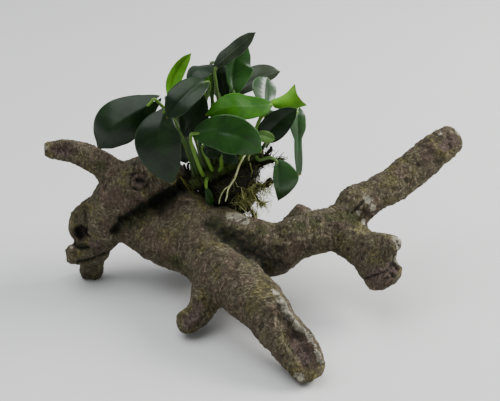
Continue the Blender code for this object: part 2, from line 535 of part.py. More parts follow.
def leaf_mesh(shape):
    """One leaf: a round stalk that opens into a thin, folded blade."""
    root, radius = rhizome_near(shape["foot"])
    points = [Vector(p) for p in shape["stalk"]]
    blade = [Vector(p) for p in shape["blade"]]
    start = root + away_from_rhizome(root, points[0]) * (radius + 1.3)
    line = [start, *points, *blade]
    base = len(points) + 1
    stops = [(k * base / 5, None) for k in range(5)]
    stops += [(base + 3 * t, t) for t in BLADE_STEPS]
    faces = [Vector(f).normalized() for f in shape["face"]]
    rings = []
    for place, t in stops:
        centre = on_curve(line, place)
        ahead = on_curve(line, min(place + 0.05, len(line) - 1)) - on_curve(line, max(place - 0.05, 0))
        tangent = ahead.normalized()
        share = 0 if t is None else t
        face = faces[0] * (1 - share) + faces[1] * share
        face = (face - tangent * face.dot(tangent)).normalized()
        side = tangent.cross(face)
        ring = []
        for across, up in SECTION:
            if t is None:
                angle = math.atan2(up, across) if across or up else 0
                ring.append(centre + (side * math.cos(angle) + face * math.sin(angle)) * STEM_RADIUS)
                continue
            half = shape["half"][0] if across > 0 else shape["half"][1]
            lift = math.radians(shape["lift"][0] if across > 0 else shape["lift"][1])
            width = max(half * outline(t, shape), 0.35)
            reach = width * across
            thick = LEAF_THICKNESS / 2 * up * (1.5 - 0.5 * min(t * 3, 1))
            droop = -0.06 * width * across * across
            ring.append(centre + side * reach * math.cos(lift)
                        + face * (abs(reach) * math.sin(lift) + droop + thick))
        rings.append([sketch(*p) for p in ring])
    return loft(rings)


def stem_cutter():
    """A stouter copy of the rhizome and the lowest part of every leaf stalk, as one body."""
    together = bmesh.new()
    bodies = [tube(RHIZOME, 3, 12, 0.9)]
    for shape in LEAVES.values():
        root, _ = rhizome_near(shape["foot"])
        line = [root, *[Vector(p) for p in shape["stalk"]], Vector(shape["blade"][0])]
        stations = [(*on_curve(line, k * 0.16), STEM_RADIUS + 1.7) for k in range(11)]
        bodies.append(tube(stations, 3, 8))
    for body in bodies:
        part = bpy.data.meshes.new("body")
        body.to_mesh(part)
        body.free()
        together.from_mesh(part)
        bpy.data.meshes.remove(part)
    made = object_from(together, "stem cutter")
    remesh = made.modifiers.new("Union", "REMESH")
    remesh.mode = "VOXEL"
    remesh.voxel_size = 0.6 * MM
    settle(made)
    return made


def inside(tree, point):
    """Whether the point is within the closed mesh of the tree."""
    hits = 0
    way = Vector((0.21, 0.13, 0.97)).normalized()
    start = point
    while hits < 40:
        spot, _, _, _ = tree.ray_cast(start, way)
        if spot is None:
            break
        hits += 1
        start = spot + way * 1e-6
    return hits % 2 == 1


def keep_clear(piece, wood, clearance):
    """Points of the piece inside the wood, or too close to it, moved out."""
    mesh = bmesh.new()
    mesh.from_mesh(wood)
    tree = BVHTree.FromBMesh(mesh)
    mesh.free()
    for vertex in piece.data.vertices:
        spot, normal, _, distance = tree.find_nearest(vertex.co)
        if distance < clearance * MM or inside(tree, vertex.co):
            vertex.co = spot + normal * clearance * MM


def root_pad(wood):
    """The pad of roots, fitted round the rhizome and the leaf stalks and laid on the wood."""
    pad = union_of(ROOT_PAD, PAD_VOXEL, 2)
    places = [v.co.copy() for v in pad.data.vertices]
    for vertex, place, normal in zip(pad.data.vertices, places, [v.normal.copy() for v in pad.data.vertices]):
        vertex.co = place + normal * (1.3 * MM * noise.noise(place * 170))
    cut_away(pad, stem_cutter())
    again = pad.modifiers.new("Again", "REMESH")
    again.mode = "VOXEL"
    again.voxel_size = PAD_VOXEL * MM
    settle(pad)
    keep_clear(pad, wood, PAD_CLEARANCE + 0.6)
    settle(pad)
    thin_out(pad, PAD_TRIANGLES)
    pad = loose_parts(pad)[0]
    keep_clear(pad, wood, PAD_CLEARANCE)
    tidy(pad)
    pad = loose_parts(pad)[0]
    for scrap in [o for o in bpy.data.objects if o.name.startswith("part")]:
        if scrap is not pad:
            bpy.data.objects.remove(scrap)
    pad.name = "root_pad"
    pad.data.materials.append(material("roots", (0.03, 0.022, 0.012), 0.9))


def plant(wood):
    """The rhizome, its roots and its leaves."""
    stem = object_from(tube(RHIZOME, 6, 10), "rhizome")
    stem.data.materials.append(material("green_stem", (0.12, 0.22, 0.04), 0.5))
    root_pad(wood)
    pale = object_from(tube(PALE_ROOT, 6, 6), "pale_root")
    pale.data.materials.append(material("pale_root", (0.55, 0.55, 0.28), 0.6))
    green = material("leaf", (0.018, 0.075, 0.012), 0.3)
    young = material("young_leaf", (0.1, 0.32, 0.012), 0.35)
    bright = ("leaf_yellow_upright", "leaf_backlit", "leaf_bright_curled", "leaf_bright_middle", "leaf_small_curled")
    for name, shape in LEAVES.items():
        blade = object_from(leaf_mesh(shape), name)
        blade.data.materials.append(young if name in bright else green)


def main():
    for old in list(bpy.data.objects):
        bpy.data.objects.remove(old)
    plant(driftwood())


main()
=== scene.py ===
"""The looks of an anubias on driftwood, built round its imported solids.

The wood is one seamless skin over the nine sawn limbs, with its bark, wrinkles and scars. Each
leaf is a thin waxy blade on its own stalk, laid along the same curve as its solid. The pad of
roots is a matted core under fine fibres. Lengths below are in millimetres where a name ends in
nothing else, and the frame is in metres.
"""

import math

import bmesh
import bpy
import numpy as np
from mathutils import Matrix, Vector, noise
from mathutils.bvhtree import BVHTree
from mathutils.kdtree import KDTree


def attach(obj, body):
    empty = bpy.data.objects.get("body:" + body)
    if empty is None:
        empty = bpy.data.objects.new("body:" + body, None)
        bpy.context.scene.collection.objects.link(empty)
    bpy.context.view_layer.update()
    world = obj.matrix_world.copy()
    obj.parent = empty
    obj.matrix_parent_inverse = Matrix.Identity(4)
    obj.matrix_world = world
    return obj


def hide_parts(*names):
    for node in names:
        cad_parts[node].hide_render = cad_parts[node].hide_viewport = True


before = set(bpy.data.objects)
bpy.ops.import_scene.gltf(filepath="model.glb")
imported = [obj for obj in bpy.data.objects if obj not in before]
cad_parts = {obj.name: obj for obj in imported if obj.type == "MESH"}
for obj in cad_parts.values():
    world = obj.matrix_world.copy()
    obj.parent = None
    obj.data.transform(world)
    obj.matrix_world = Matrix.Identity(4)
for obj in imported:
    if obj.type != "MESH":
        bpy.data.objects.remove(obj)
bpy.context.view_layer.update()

MM = 0.001
ORIGIN = Vector((2.0, -27.0, 0.0))  # the middle of the footprint in the sketch's millimetres
DICE = np.random.default_rng(11)

# The photograph's camera, which the places given as its pixels are cast from.
IMAGE = (500, 401)
LOOK_AT = Vector((-0.002, 0.027, 0.070))
CAMERA_AWAY = 0.780
CAMERA_PITCH = math.radians(30.0)
LENS = 78.62
SENSOR = 36.0
FORWARD = Vector((0, math.cos(CAMERA_PITCH), -math.sin(CAMERA_PITCH)))
UPWARD = Vector((0, math.sin(CAMERA_PITCH), math.cos(CAMERA_PITCH)))
RIGHT = Vector((1, 0, 0))
EYE = LOOK_AT - FORWARD * CAMERA_AWAY
FOCAL_PIXELS = LENS / SENSOR * IMAGE[0]

WOOD_NODES = ("trunk", "left_limb", "left_horn", "front_leg", "middle_leg", "right_arm", "upper_branch",
              "lower_fork", "rear_leg")

# The middle lines of the limbs, in the sketch's millimetres: the bark's wrinkles run round them.
LIMB_LINES = {
    "left_limb": [(-50, 22, 74), (-64, 18, 77), (-79, 15, 74), (-93, 10, 62), (-105, 7, 48), (-112, 5, 34),
                  (-116, 6, 19), (-119, 8, 1)],
    "left_toe": [(-106, 3, 28), (-119, -2, 27), (-134, -5, 26)],
    "left_horn": [(-93, 13, 79), (-110, 16, 94), (-129, 18, 100), (-150, 20, 100)],
    "trunk": [(-50, 14, 58), (-45, 5, 54), (-41, -7, 47), (-27, -26, 38), (-5, -62, 36)],
    "trunk_lobe": [(-92, 8, 42), (-72, -2, 42), (-36, -16, 41)],
    "front_leg": [(-5, -62, 36), (12, -82, 29), (25, -99, 20), (38, -114, 5)],
    "middle_leg": [(-26, -42, 30), (-32, -56, 17), (-46, -69, 12)],
    "right_arm": [(-30, -4, 50), (15, -22, 43), (35, -22, 51), (65, -16, 58)],
    "upper_branch": [(60, -17, 57), (78, -8, 69), (112, 10, 86), (150, 28, 111)],
    "lower_fork": [(58, -16, 57), (67, -20, 52), (90, -42, 46), (104, -52, 42)],
    "rear_leg": [(-30, -2, 42), (-2, 28, 19), (25, 48, 8), (46, 63, 30)],
}

# Places on the wood with a look of their own: a pixel of the photograph, cast onto the wood from the
# camera, and a radius in mm. The pale places are partly pale wood and partly a painted highlight on the
# edges and ends that face the light.
SPOTS = {
    "pale": [(231, 215, 4), (239, 216, 5), (246, 221, 3), (276, 292, 3), (281, 299, 3), (398, 240, 4), (400, 248, 3),
             (397, 260, 3), (359, 213, 2), (368, 199, 3), (373, 208, 3), (364, 222, 2), (306, 205, 7), (310, 204, 5),
             (458, 132, 3), (440, 134, 1.5), (46, 148, 1.5), (72, 246, 2), (299, 378, 4), (285, 308, 3), (290, 316, 3)],
    "rust": [(56, 149, 4), (62, 149, 4), (68, 149, 4), (79, 233, 5), (138, 181, 6), (134, 197, 5), (142, 202, 4),
             (97, 246, 5), (300, 340, 7), (310, 360, 7), (292, 325, 5), (380, 280, 8), (393, 268, 5), (452, 140, 5),
             (430, 152, 7), (112, 196, 7), (165, 250, 9), (400, 171, 6), (190, 320, 5), (150, 236, 6)],
    "bare": [(54, 150, 2.6), (59, 150, 3.4), (64, 150, 3.6), (68.5, 149.5, 3.0), (79, 233, 3), (92, 245, 4), (100, 243, 3), (198, 306, 4),
             (194, 316, 4), (188, 325, 4), (372, 277, 5), (382, 277, 6), (391, 269, 4), (450, 141, 5), (445, 147, 4),
             (139, 181, 3), (300, 344, 5), (296, 334, 4), (306, 356, 5)],
    "moss": [(352, 217, 5), (341, 215, 5), (330, 217, 4), (176, 263, 6), (185, 183, 6), (172, 193, 6), (158, 201, 6),
             (142, 211, 6), (127, 221, 6), (118, 229, 5), (100, 165, 4), (214, 222, 6), (228, 236, 7), (262, 229, 5),
             (300, 226, 4), (315, 222, 4), (250, 262, 5)],
}

# Creases, cracks and broken edges: pixels of the photograph in a row, cast onto the wood, the half
# width and the depth in mm, which is below nought for a raised edge, and how dark the place is. The
# darkness is painted shade: the shade that falls in a crease, crack, hole or pit, and beside the
# overhanging limb and the front leg.
SEAMS = {
    "limb_over_trunk": ([(187, 184), (172, 192), (157, 201), (140, 211), (124, 220), (115, 231)], 3.0, 3.6, 0.42),
    "limb_shade": ([(180, 190), (163, 200), (146, 210), (130, 220)], 6.5, 0.3, 0.46),
    "arm_behind_leg": ([(207, 226), (222, 236), (237, 247), (251, 258)], 3.6, 2.0, 0.42),
    "arm_shade": ([(214, 224), (232, 234), (250, 247), (266, 258), (280, 264)], 9.0, 0.2, 0.58),
    "lobe_edge": ([(84, 207), (86, 219), (86, 231), (90, 242)], 1.2, 1.6, 0.4),
    "lobe_and_toe": ([(73, 243), (80, 247), (88, 248)], 1.4, 2.2, 0.6),
    "toe_and_foot": ([(78, 263), (88, 261), (97, 258), (105, 254)], 1.4, 2.2, 0.6),
    "hole": ([(79, 229), (80, 236)], 1.7, 2.6, 0.9),
    "knot_top": ([(131, 184), (130, 178), (134, 173), (141, 172), (147, 175)], 1.2, 1.8, 0.6),
    "knot_low": ([(149, 181), (147, 187), (140, 190), (134, 188)], 1.1, 1.5, 0.55),
    "knot_eye": ([(137, 180), (142, 181), (143, 184)], 1.3, 1.6, 0.7),
    "knot_lip": ([(135, 177), (141, 176), (146, 180)], 0.8, -0.8, 0.0),
    "pit_under_knot": ([(133, 196), (136, 201), (142, 203)], 1.3, 1.2, 0.5),
    "horn_recess": ([(54, 150), (61, 150), (68, 150)], 2.4, 0.9, 0.0),
    "horn_recess_end": ([(72, 145), (72.5, 149), (71, 154)], 0.8, 0.6, 0.3),
    "horn_recess_top": ([(50, 147), (58, 145), (70, 144)], 0.8, 0.5, 0.3),
    "broken_edge_right": ([(282, 303), (290, 315), (298, 328), (307, 334), (313, 345), (320, 362)], 1.6, -2.8, 0.0),
    "broken_edge_left": ([(268, 307), (275, 308), (274, 320), (273, 330), (277, 347), (285, 361), (293, 376)], 1.1,
                         -1.4, 0.0),
    "broken_trough": ([(281, 318), (288, 334), (297, 350), (306, 366)], 5.0, 2.8, 0.0),
    "trough_side": ([(288, 318), (296, 332), (304, 343), (311, 358)], 1.6, 1.4, 0.35),
    "trough_grain": ([(279, 322), (285, 338), (295, 357)], 0.8, 0.9, 0.25),
    "fork_crack": ([(397, 238), (401, 248), (395, 256), (394, 264), (399, 270)], 1.2, 1.7, 0.7),
    "fork_face": ([(364, 279), (374, 276), (386, 272), (392, 264)], 1.0, 1.3, 0.5),
    "fork_pit": ([(391, 273), (393, 277)], 1.4, 1.6, 0.8),
    "branch_crack": ([(352, 213), (358, 207), (364, 201)], 1.0, 1.4, 0.8),
    "branch_scar": ([(360, 220), (363, 209), (369, 197)], 2.0, 1.2, 0.0),
    "branch_end": ([(447, 133), (448, 140), (451, 148)], 0.9, 1.0, 0.4),
    "arm_line": ([(277, 246), (301, 240), (329, 237)], 1.6, -0.7, 0.0),
    "middle_leg_line": ([(212, 300), (206, 315), (191, 333)], 0.9, 1.0, 0.4),
    "middle_leg_side": ([(199, 297), (196, 312), (184, 326)], 0.8, 0.8, 0.3),
    "trunk_furrow": ([(196, 232), (199, 246), (206, 262), (216, 276)], 1.8, 0.9, 0.2),
    "trunk_lower": ([(130, 243), (150, 252), (170, 261)], 1.8, 1.0, 0.3),
    "shoulder": ([(236, 256), (250, 266), (262, 276)], 2.4, -1.0, 0.0),
}


def sketch(x, y, z):
    """A point of the sketch, in millimetres, as a place in the frame, in metres."""
    return (Vector((x, y, z)) - ORIGIN) * MM


def object_from(mesh, name):
    data = bpy.data.meshes.new(name)
    mesh.to_mesh(data)
    mesh.free()
    made = bpy.data.objects.new(name, data)
    bpy.context.scene.collection.objects.link(made)
    return made


def settle(piece):
    """The piece's modifiers made part of its mesh."""
    graph = bpy.context.evaluated_depsgraph_get()
    settled = bpy.data.meshes.new_from_object(piece.evaluated_get(graph))
    piece.modifiers.clear()
    piece.data = settled


def smooth(piece):
    piece.data.polygons.foreach_set("use_smooth", [True] * len(piece.data.polygons))


def vertex_array(piece, what="co"):
    values = np.empty(len(piece.data.vertices) * 3)
    if what == "normal":
        piece.data.vertex_normals.foreach_get("vector", values)
    else:
        piece.data.vertices.foreach_get("co", values)
    return values.reshape(-1, 3)


def keep_value(piece, name, values):
    """A number on every vertex, for the material to read."""
    made = piece.data.attributes.new(name, "FLOAT", "POINT")
    made.data.foreach_set("value", np.asarray(values, dtype=np.float32))


class Shader:
    """A material's nodes, made by short calls. A value is a number, a colour or another node's output."""

    def __init__(self, name):
        self.material = bpy.data.materials.new(name)
        self.material.use_nodes = True
        self.tree = self.material.node_tree
        self.surface = self.tree.nodes["Principled BSDF"]

    def give(self, socket, value):
        if isinstance(value, bpy.types.NodeSocket):
            self.tree.links.new(value, socket)
        elif isinstance(value, tuple) and len(value) == 3 and len(socket.default_value) == 4:
            socket.default_value = (*value, 1)
        else:
            socket.default_value = value

    def node(self, kind, settings=None, inputs=None):
        made = self.tree.nodes.new(kind)
        for key, value in (settings or {}).items():
            setattr(made, key, value)
        for key, value in (inputs or {}).items():
            self.give(made.inputs[key], value)
        return made

    def attribute(self, name):
        return self.node("ShaderNodeAttribute", {"attribute_name": name}).outputs["Fac"]

    def place(self):
        return self.node("ShaderNodeTexCoord").outputs["Object"]

    def noise(self, scale, detail=3.0, rough=0.55, vector=None, warp=0.0):
        made = self.node("ShaderNodeTexNoise", None, {"Scale": scale, "Detail": detail, "Roughness": rough,
                                                      "Distortion": warp})
        self.give(made.inputs["Vector"], vector or self.place())
        return made.outputs[0]

    def sum(self, operation, first, second=0.0, third=None, clamp=False):
        made = self.node("ShaderNodeMath", {"operation": operation, "use_clamp": clamp})
        self.give(made.inputs[0], first)
        self.give(made.inputs[1], second)
        if third is not None:
            self.give(made.inputs[2], third)
        return made.outputs[0]

    def ramp(self, value, stops):
        """A smooth scale of numbers or colours: stops are (place, number or colour)."""
        made = self.node("ShaderNodeValToRGB", None, {"Fac": value})
        scale = made.color_ramp.elements
        while len(scale) < len(stops):
            scale.new(0.5)
        for element, (place, shade) in zip(scale, stops):
            element.position = place
            element.color = (*shade, 1) if isinstance(shade, tuple) else (shade, shade, shade, 1)
        return made.outputs[0]

    def mix(self, share, first, second, how="MIX"):
        made = self.node("ShaderNodeMix", {"data_type": "RGBA", "blend_type": how})
        self.give(made.inputs[0], share)
        self.give(made.inputs[6], first)
        self.give(made.inputs[7], second)
        return made.outputs[2]

    def bump(self, height, strength, distance, under=None):
        made = self.node("ShaderNodeBump", None, {"Strength": strength, "Distance": distance, "Height": height})
        if under is not None:
            self.give(made.inputs["Normal"], under)
        return made.outputs["Normal"]

    def finish(self, **surface):
        for key, value in surface.items():
            self.give(self.surface.inputs[key.replace("_", " ")], value)
        return self.material


# The wood


def wood_skin():
    """The nine limbs as one closed skin without saw cuts, at the grain of the bark."""
    together = bmesh.new()
    for name in WOOD_NODES:
        part = bmesh.new()
        part.from_mesh(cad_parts[name].data)
        bmesh.ops.remove_doubles(part, verts=part.verts, dist=1e-6)
        part.normal_update()
        for vertex in part.verts:
            vertex.co += vertex.normal * WOOD_SWELL * MM
        grown = bpy.data.meshes.new("grown")
        part.to_mesh(grown)
        part.free()
        together.from_mesh(grown)
        bpy.data.meshes.remove(grown)
    made = object_from(together, "driftwood_skin")
    remesh = made.modifiers.new("Union", "REMESH")
    remesh.mode = "VOXEL"
    remesh.voxel_size = WOOD_VOXEL * MM
    soften = made.modifiers.new("Soften", "SMOOTH")
    soften.factor = 0.5
    soften.iterations = 9
    settle(made)
    return made


WOOD_SWELL = 0.4
WOOD_VOXEL = 1.0
STREAK_WAYS = 10


def limb_axes(places):
    """For each place the direction of the limb it lies on, blended where limbs meet."""
    total = np.zeros_like(places)
    for points in LIMB_LINES.values():
        line = np.array([sketch(*p) for p in points]) / MM
        best = np.full(len(places), 1e9)
        way = np.zeros_like(places)
        for start, end in zip(line, line[1:]):
            along = (end - start) / np.linalg.norm(end - start)
            share = np.clip((places - start) @ along, 0, np.linalg.norm(end - start))
            away = np.linalg.norm(places - start - share[:, None] * along, axis=1)
            near = away < best
            best[near] = away[near]
            way[near] = along
        turn = np.sign(np.einsum("ij,ij->i", total, way))
        turn[turn == 0] = 1
        total += way * (turn * np.exp(-(best / 14.0) ** 2))[:, None]
    return total / np.maximum(np.linalg.norm(total, axis=1), 1e-9)[:, None]


def neighbours(piece):
    """The mesh's edges, twice over, as two arrays: a vertex and a vertex next to it."""
    pairs = np.empty(len(piece.data.edges) * 2, dtype=np.int64)
    piece.data.edges.foreach_get("vertices", pairs)
    pairs = pairs.reshape(-1, 2)
    return np.concatenate([pairs[:, 0], pairs[:, 1]]), np.concatenate([pairs[:, 1], pairs[:, 0]])


def spread(values, here, there, weight, rounds):
    """The values smeared over neighbouring vertices, then brought back to a middle of 0 and a spread of 1."""
    total = np.bincount(here, weight, len(values)) + 1e-9
    for _ in range(rounds):
        mean = np.bincount(here, weight * values[there], len(values)) / total
        values = 0.35 * values + 0.65 * mean
    return (values - values.mean()) / (values.std() + 1e-9)


def noise_at(places, scale, seed=0.0):
    shift = Vector((seed, seed * 0.7, -seed))
    return np.array([noise.noise(Vector(p) * scale + shift) for p in places])


def cast(tree, pixel):
    """Where the ray through a pixel of the photograph meets the wood, in millimetres."""
    way = FORWARD * FOCAL_PIXELS + RIGHT * (pixel[0] - IMAGE[0] / 2) + UPWARD * (IMAGE[1] / 2 - pixel[1])
    spot, _, _, distance = tree.ray_cast(EYE, way.normalized())
    if spot is None:
        spot = tree.find_nearest(EYE + way.normalized() * CAMERA_AWAY)[0]
    return np.array(spot) / MM


def along_pixels(tree, pixels):
    """Places on the wood, in millimetres, every few pixels along a line of the photograph's pixels."""
    marks = [np.array(pixel, dtype=float) for pixel in pixels]
    found = [cast(tree, marks[0])]
    for start, end in zip(marks, marks[1:]):
        count = max(1, round(np.linalg.norm(end - start) / 2.5))
        found += [cast(tree, start + (end - start) * (k + 1) / count) for k in range(count)]
    return found


def line_distance(places, points):
    """How far each place is from a line of points."""
    best = np.full(len(places), 1e9)
    for start, end in zip(points, points[1:]):
        run = end - start
        share = np.clip(((places - start) @ run) / max(run @ run, 1e-9), 0, 1)
        best = np.minimum(best, np.linalg.norm(places - start - share[:, None] * run, axis=1))
    return best


def driftwood():
    skin = wood_skin()
    places = vertex_array(skin) / MM
    normals = vertex_array(skin, "normal")
    tree = BVHTree.FromObject(skin, bpy.context.evaluated_depsgraph_get())
    here, there = neighbours(skin)
    step = places[there] - places[here]
    step /= np.maximum(np.linalg.norm(step, axis=1), 1e-9)[:, None]

    axis = limb_axes(places)
    round_way = np.cross(axis, normals)
    round_way /= np.maximum(np.linalg.norm(round_way, axis=1), 1e-9)[:, None]
    trough = line_distance(places, [cast(tree, pixel) for pixel in SEAMS["broken_trough"][0]])
    sway = noise_at(places, 0.035, 3.0) * 1.3 + 1.5 * np.exp(-(trough / 7.0) ** 4)
    way = round_way * np.cos(sway)[:, None] + axis * np.sin(sway)[:, None]
    lean = np.einsum("ij,ij->i", step, way[here]) ** 2
    along_way = np.exp(5.0 * (lean - 1))
    wide = spread(DICE.normal(size=len(places)), here, there, along_way, 16)
    even = np.ones(len(here))
    blotch = spread(DICE.normal(size=len(places)), here, there, even, 50)
    pit = spread(DICE.normal(size=len(places)), here, there, even, 6)

    jitter = noise_at(places, 0.35, 7.0)
    broken = 0.35 + 2.2 * np.abs(noise_at(places, 0.24, 9.0))
    seam_shift = np.zeros(len(places))
    seam_shade = np.zeros(len(places))
    crest = np.zeros(len(places))
    for pixels, half, depth, dark in SEAMS.values():
        points = along_pixels(tree, pixels)
        away = np.abs(line_distance(places, points) + 0.45 * half * jitter)
        fall = np.exp(-(away / half) ** 2)
        seam_shift -= depth * fall * (broken if depth < -1 else 1.0)
        if depth < -1.5:
            crest = np.maximum(crest, np.exp(-(away / (1.3 * half)) ** 2) * np.clip(broken, 0, 1.1))
        ragged = np.clip(0.85 + 1.1 * jitter, 0.35, 1.25)
        # Painted shade: each seam darkens the bark along it, as the shade that falls in it.
        seam_shade = np.maximum(seam_shade, dark * ragged * np.exp(-(away / (1.5 * half)) ** 2))
    looks = {name: np.zeros(len(places)) for name in SPOTS}
    # Painted highlight: the raised broken edges are made pale.
    looks["pale"] = 1.25 * crest
    for name, table in SPOTS.items():
        for x, y, radius in table:
            away = np.linalg.norm(places - cast(tree, (x, y)), axis=1) / (1.5 * radius) + 0.25 * jitter
            looks[name] = np.maximum(looks[name], np.clip(1.15 - away, 0, 1) ** 0.8)

    warty = np.clip(0.3 + 1.5 * noise_at(places, 0.02, 1.0), 0, 1)
    warty[(places[:, 0] > 75) & (places[:, 2] > 66)] = 1.0
    height = 0.16 * wide + 0.9 * np.abs(noise_at(places, 0.12, 5.0)) + 0.6 * np.abs(noise_at(places, 0.26, 6.0)) - 0.35
    height += warty * (0.14 * np.clip(pit, -2, 1.0) + 0.5 * np.abs(noise_at(places, 0.4, 8.0)))
    moved = places + normals * (height + seam_shift - WOOD_SWELL)[:, None]
    moved[:, 2] = np.maximum(moved[:, 2], 0.0)
    skin.data.vertices.foreach_set("co", (moved * MM).ravel())
    skin.data.update()

    keep_value(skin, "wide", 0.5 + 0.17 * wide)
    keep_value(skin, "blotch", 0.5 + 0.17 * blotch)
    keep_value(skin, "pit", 0.5 + 0.17 * pit)
    # Painted shade: how closed in each place is, with the seams' painted shade, kept for the bark to darken by.
    keep_value(skin, "hollow_shade", np.clip(hollows(skin) + seam_shade, 0, 1))
    for name, values in looks.items():
        keep_value(skin, name, values)
    ways = skin.data.attributes.new("way", "FLOAT_VECTOR", "POINT")
    ways.data.foreach_set("vector", way.astype(np.float32).ravel())
    smooth(skin)
    skin.data.materials.append(bark_material())
    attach(skin, "root")
    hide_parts(*WOOD_NODES)
    return BVHTree.FromObject(skin, bpy.context.evaluated_depsgraph_get())


def even_ways(count, upper=False):
    """Directions spread evenly over a half sphere."""
    golden = math.pi * (3 - math.sqrt(5))
    ways = []
    for k in range(count):
        up = (k + 0.5) / count
        flat = math.sqrt(1 - up * up)
        ways.append(Vector((flat * math.cos(golden * k), flat * math.sin(golden * k), up)))
    return ways


HOLLOW_REACH = 0.045
HOLLOW_RAYS = 14


def hollows(skin):
    """How closed in each vertex is, from 0 to 1, from rays cast outwards. The bark is darkened by it as painted shade.
    """
    tree = BVHTree.FromObject(skin, bpy.context.evaluated_depsgraph_get())
    ways = even_ways(HOLLOW_RAYS)
    places = vertex_array(skin)
    normals = vertex_array(skin, "normal")
    sample = range(0, len(places), 6)
    found = KDTree(len(sample))
    values = []
    for index, i in enumerate(sample):
        normal = Vector(normals[i])
        turn = normal.to_track_quat("Z", "Y")
        start = Vector(places[i]) + normal * 0.8 * MM
        blocked = 0.0
        for way in ways:
            distance = tree.ray_cast(start, turn @ way, HOLLOW_REACH)[3]
            if distance is not None:
                blocked += 1 - 0.6 * distance / HOLLOW_REACH
        values.append(blocked / HOLLOW_RAYS)
        found.insert(Vector(places[i]), index)
    found.balance()
    closed = np.empty(len(places))
    for i, place in enumerate(places):
        near = found.find_n(Vector(place), 3)
        weights = [1 / (d + 0.3 * MM) for _, _, d in near]
        closed[i] = sum(w * values[n] for w, (_, n, _) in zip(weights, near)) / sum(weights)
    return np.clip(closed * 1.25, 0, 1)


def streaks(bark, scale, stretch, seed):
    """Noise drawn out along the attribute named way: noises drawn out along fixed directions, each shown
    where it lies nearest to the way."""
    way = bark.node("ShaderNodeAttribute", {"attribute_name": "way"}).outputs["Vector"]
    total, weights = None, None
    for direction in even_ways(STREAK_WAYS):
        turned = bark.node("ShaderNodeMapping", {"vector_type": "TEXTURE"}, {
            "Vector": bark.place(), "Location": (seed, 0.0, 0.0),
            "Rotation": tuple(direction.to_track_quat("X", "Z").to_euler()), "Scale": (stretch, 1.0, 1.0)}).outputs[0]
        fibre = bark.noise(scale, 3.0, 0.6, turned)
        cosine = bark.node("ShaderNodeVectorMath", {"operation": "DOT_PRODUCT"},
                           {0: way, 1: tuple(direction)}).outputs["Value"]
        weight = bark.sum("POWER", bark.sum("ABSOLUTE", cosine), 14.0)
        share = bark.sum("MULTIPLY", fibre, weight)
        total = share if total is None else bark.sum("ADD", total, share)
        weights = weight if weights is None else bark.sum("ADD", weights, weight)
    return bark.sum("DIVIDE", total, bark.sum("ADD", weights, 0.001))


def patches(bark, name, scale, share):
    """Where a look lies: its attribute with ragged edges, up to the share."""
    ragged = bark.sum("MULTIPLY_ADD", bark.noise(scale, 4.0, 0.7), 1.3, bark.sum("SUBTRACT", bark.attribute(name), 0.65))
    return bark.ramp(ragged, [(0.50, 0.0), (0.62, share)])


def bark_material():
    bark = Shader("bark")
    fibre = streaks(bark, 720.0, 2.8, 0.0)
    crack = bark.ramp(bark.sum("ABSOLUTE", bark.sum("SUBTRACT", fibre, 0.5)), [(0.0, 1.0), (0.055, 0.0)])
    ridge = bark.ramp(fibre, [(0.50, 0.0), (0.68, 1.0)])
    grain = bark.noise(1300.0, 4.0, 0.7)
    patch = bark.noise(60.0, 5.0, 0.65)
    mottle = bark.noise(260.0, 5.0, 0.7)
    tone = bark.sum("MULTIPLY_ADD", ridge, 0.10, bark.sum("MULTIPLY_ADD", bark.attribute("wide"), 0.16,
                    bark.sum("MULTIPLY_ADD", grain, 0.34, bark.sum("MULTIPLY", mottle, 0.50))))
    base = bark.ramp(tone, [(0.34, (0.050, 0.042, 0.028)), (0.50, (0.118, 0.100, 0.066)),
                            (0.62, (0.200, 0.174, 0.115)), (0.80, (0.380, 0.340, 0.235))])
    hue = bark.ramp(bark.sum("ADD", bark.sum("MULTIPLY", patch, 0.75),
                             bark.sum("MULTIPLY", bark.attribute("blotch"), 0.25)),
                    [(0.38, (1.04, 0.88, 0.92)), (0.50, (1.0, 1.0, 1.0)), (0.63, (1.08, 1.08, 0.74))])
    base = bark.mix(1.0, base, hue, "MULTIPLY")
    crust = bark.ramp(bark.sum("MULTIPLY_ADD", patch, 0.5, bark.sum("MULTIPLY", bark.noise(520.0, 3.0, 0.7), 0.6)),
                      [(0.60, 0.0), (0.68, 0.7)])
    base = bark.mix(crust, base, (0.215, 0.180, 0.070))
    base = bark.mix(patches(bark, "rust", 150.0, 0.55), base, (0.125, 0.082, 0.066))
    bare = patches(bark, "bare", 110.0, 0.85)
    base = bark.mix(bare, base, bark.ramp(tone, [(0.30, (0.085, 0.058, 0.050)), (0.75, (0.215, 0.158, 0.134))]))
    # Pale wood, partly a painted highlight on the edges and ends that face the light.
    base = bark.mix(patches(bark, "pale", 700.0, 0.75), base, (0.50, 0.47, 0.37))
    base = bark.mix(patches(bark, "moss", 240.0, 0.65), base, (0.050, 0.062, 0.018))
    base = bark.mix(bark.sum("MULTIPLY", crack, 0.42), base, (0.034, 0.027, 0.018))
    dots = bark.ramp(bark.attribute("pit"), [(0.16, 0.6), (0.26, 0.0)])
    base = bark.mix(dots, base, (0.022, 0.017, 0.012))
    # Painted shade: near black where the skin is closed in and along the dark seams.
    base = bark.mix(bark.ramp(bark.attribute("hollow_shade"), [(0.35, 0.0), (1.0, 0.88)]), base, (0.014, 0.016, 0.011))
    rise = bark.sum("MULTIPLY_ADD", crack, -0.8, bark.sum("MULTIPLY_ADD", grain, 0.4,
                                                          bark.sum("MULTIPLY_ADD", ridge, 0.3, mottle)))
    return bark.finish(Base_Color=base, Roughness=0.85, Specular_IOR_Level=0.2,
                       Normal=bark.bump(rise, 1.0, 0.0009))


# The plant

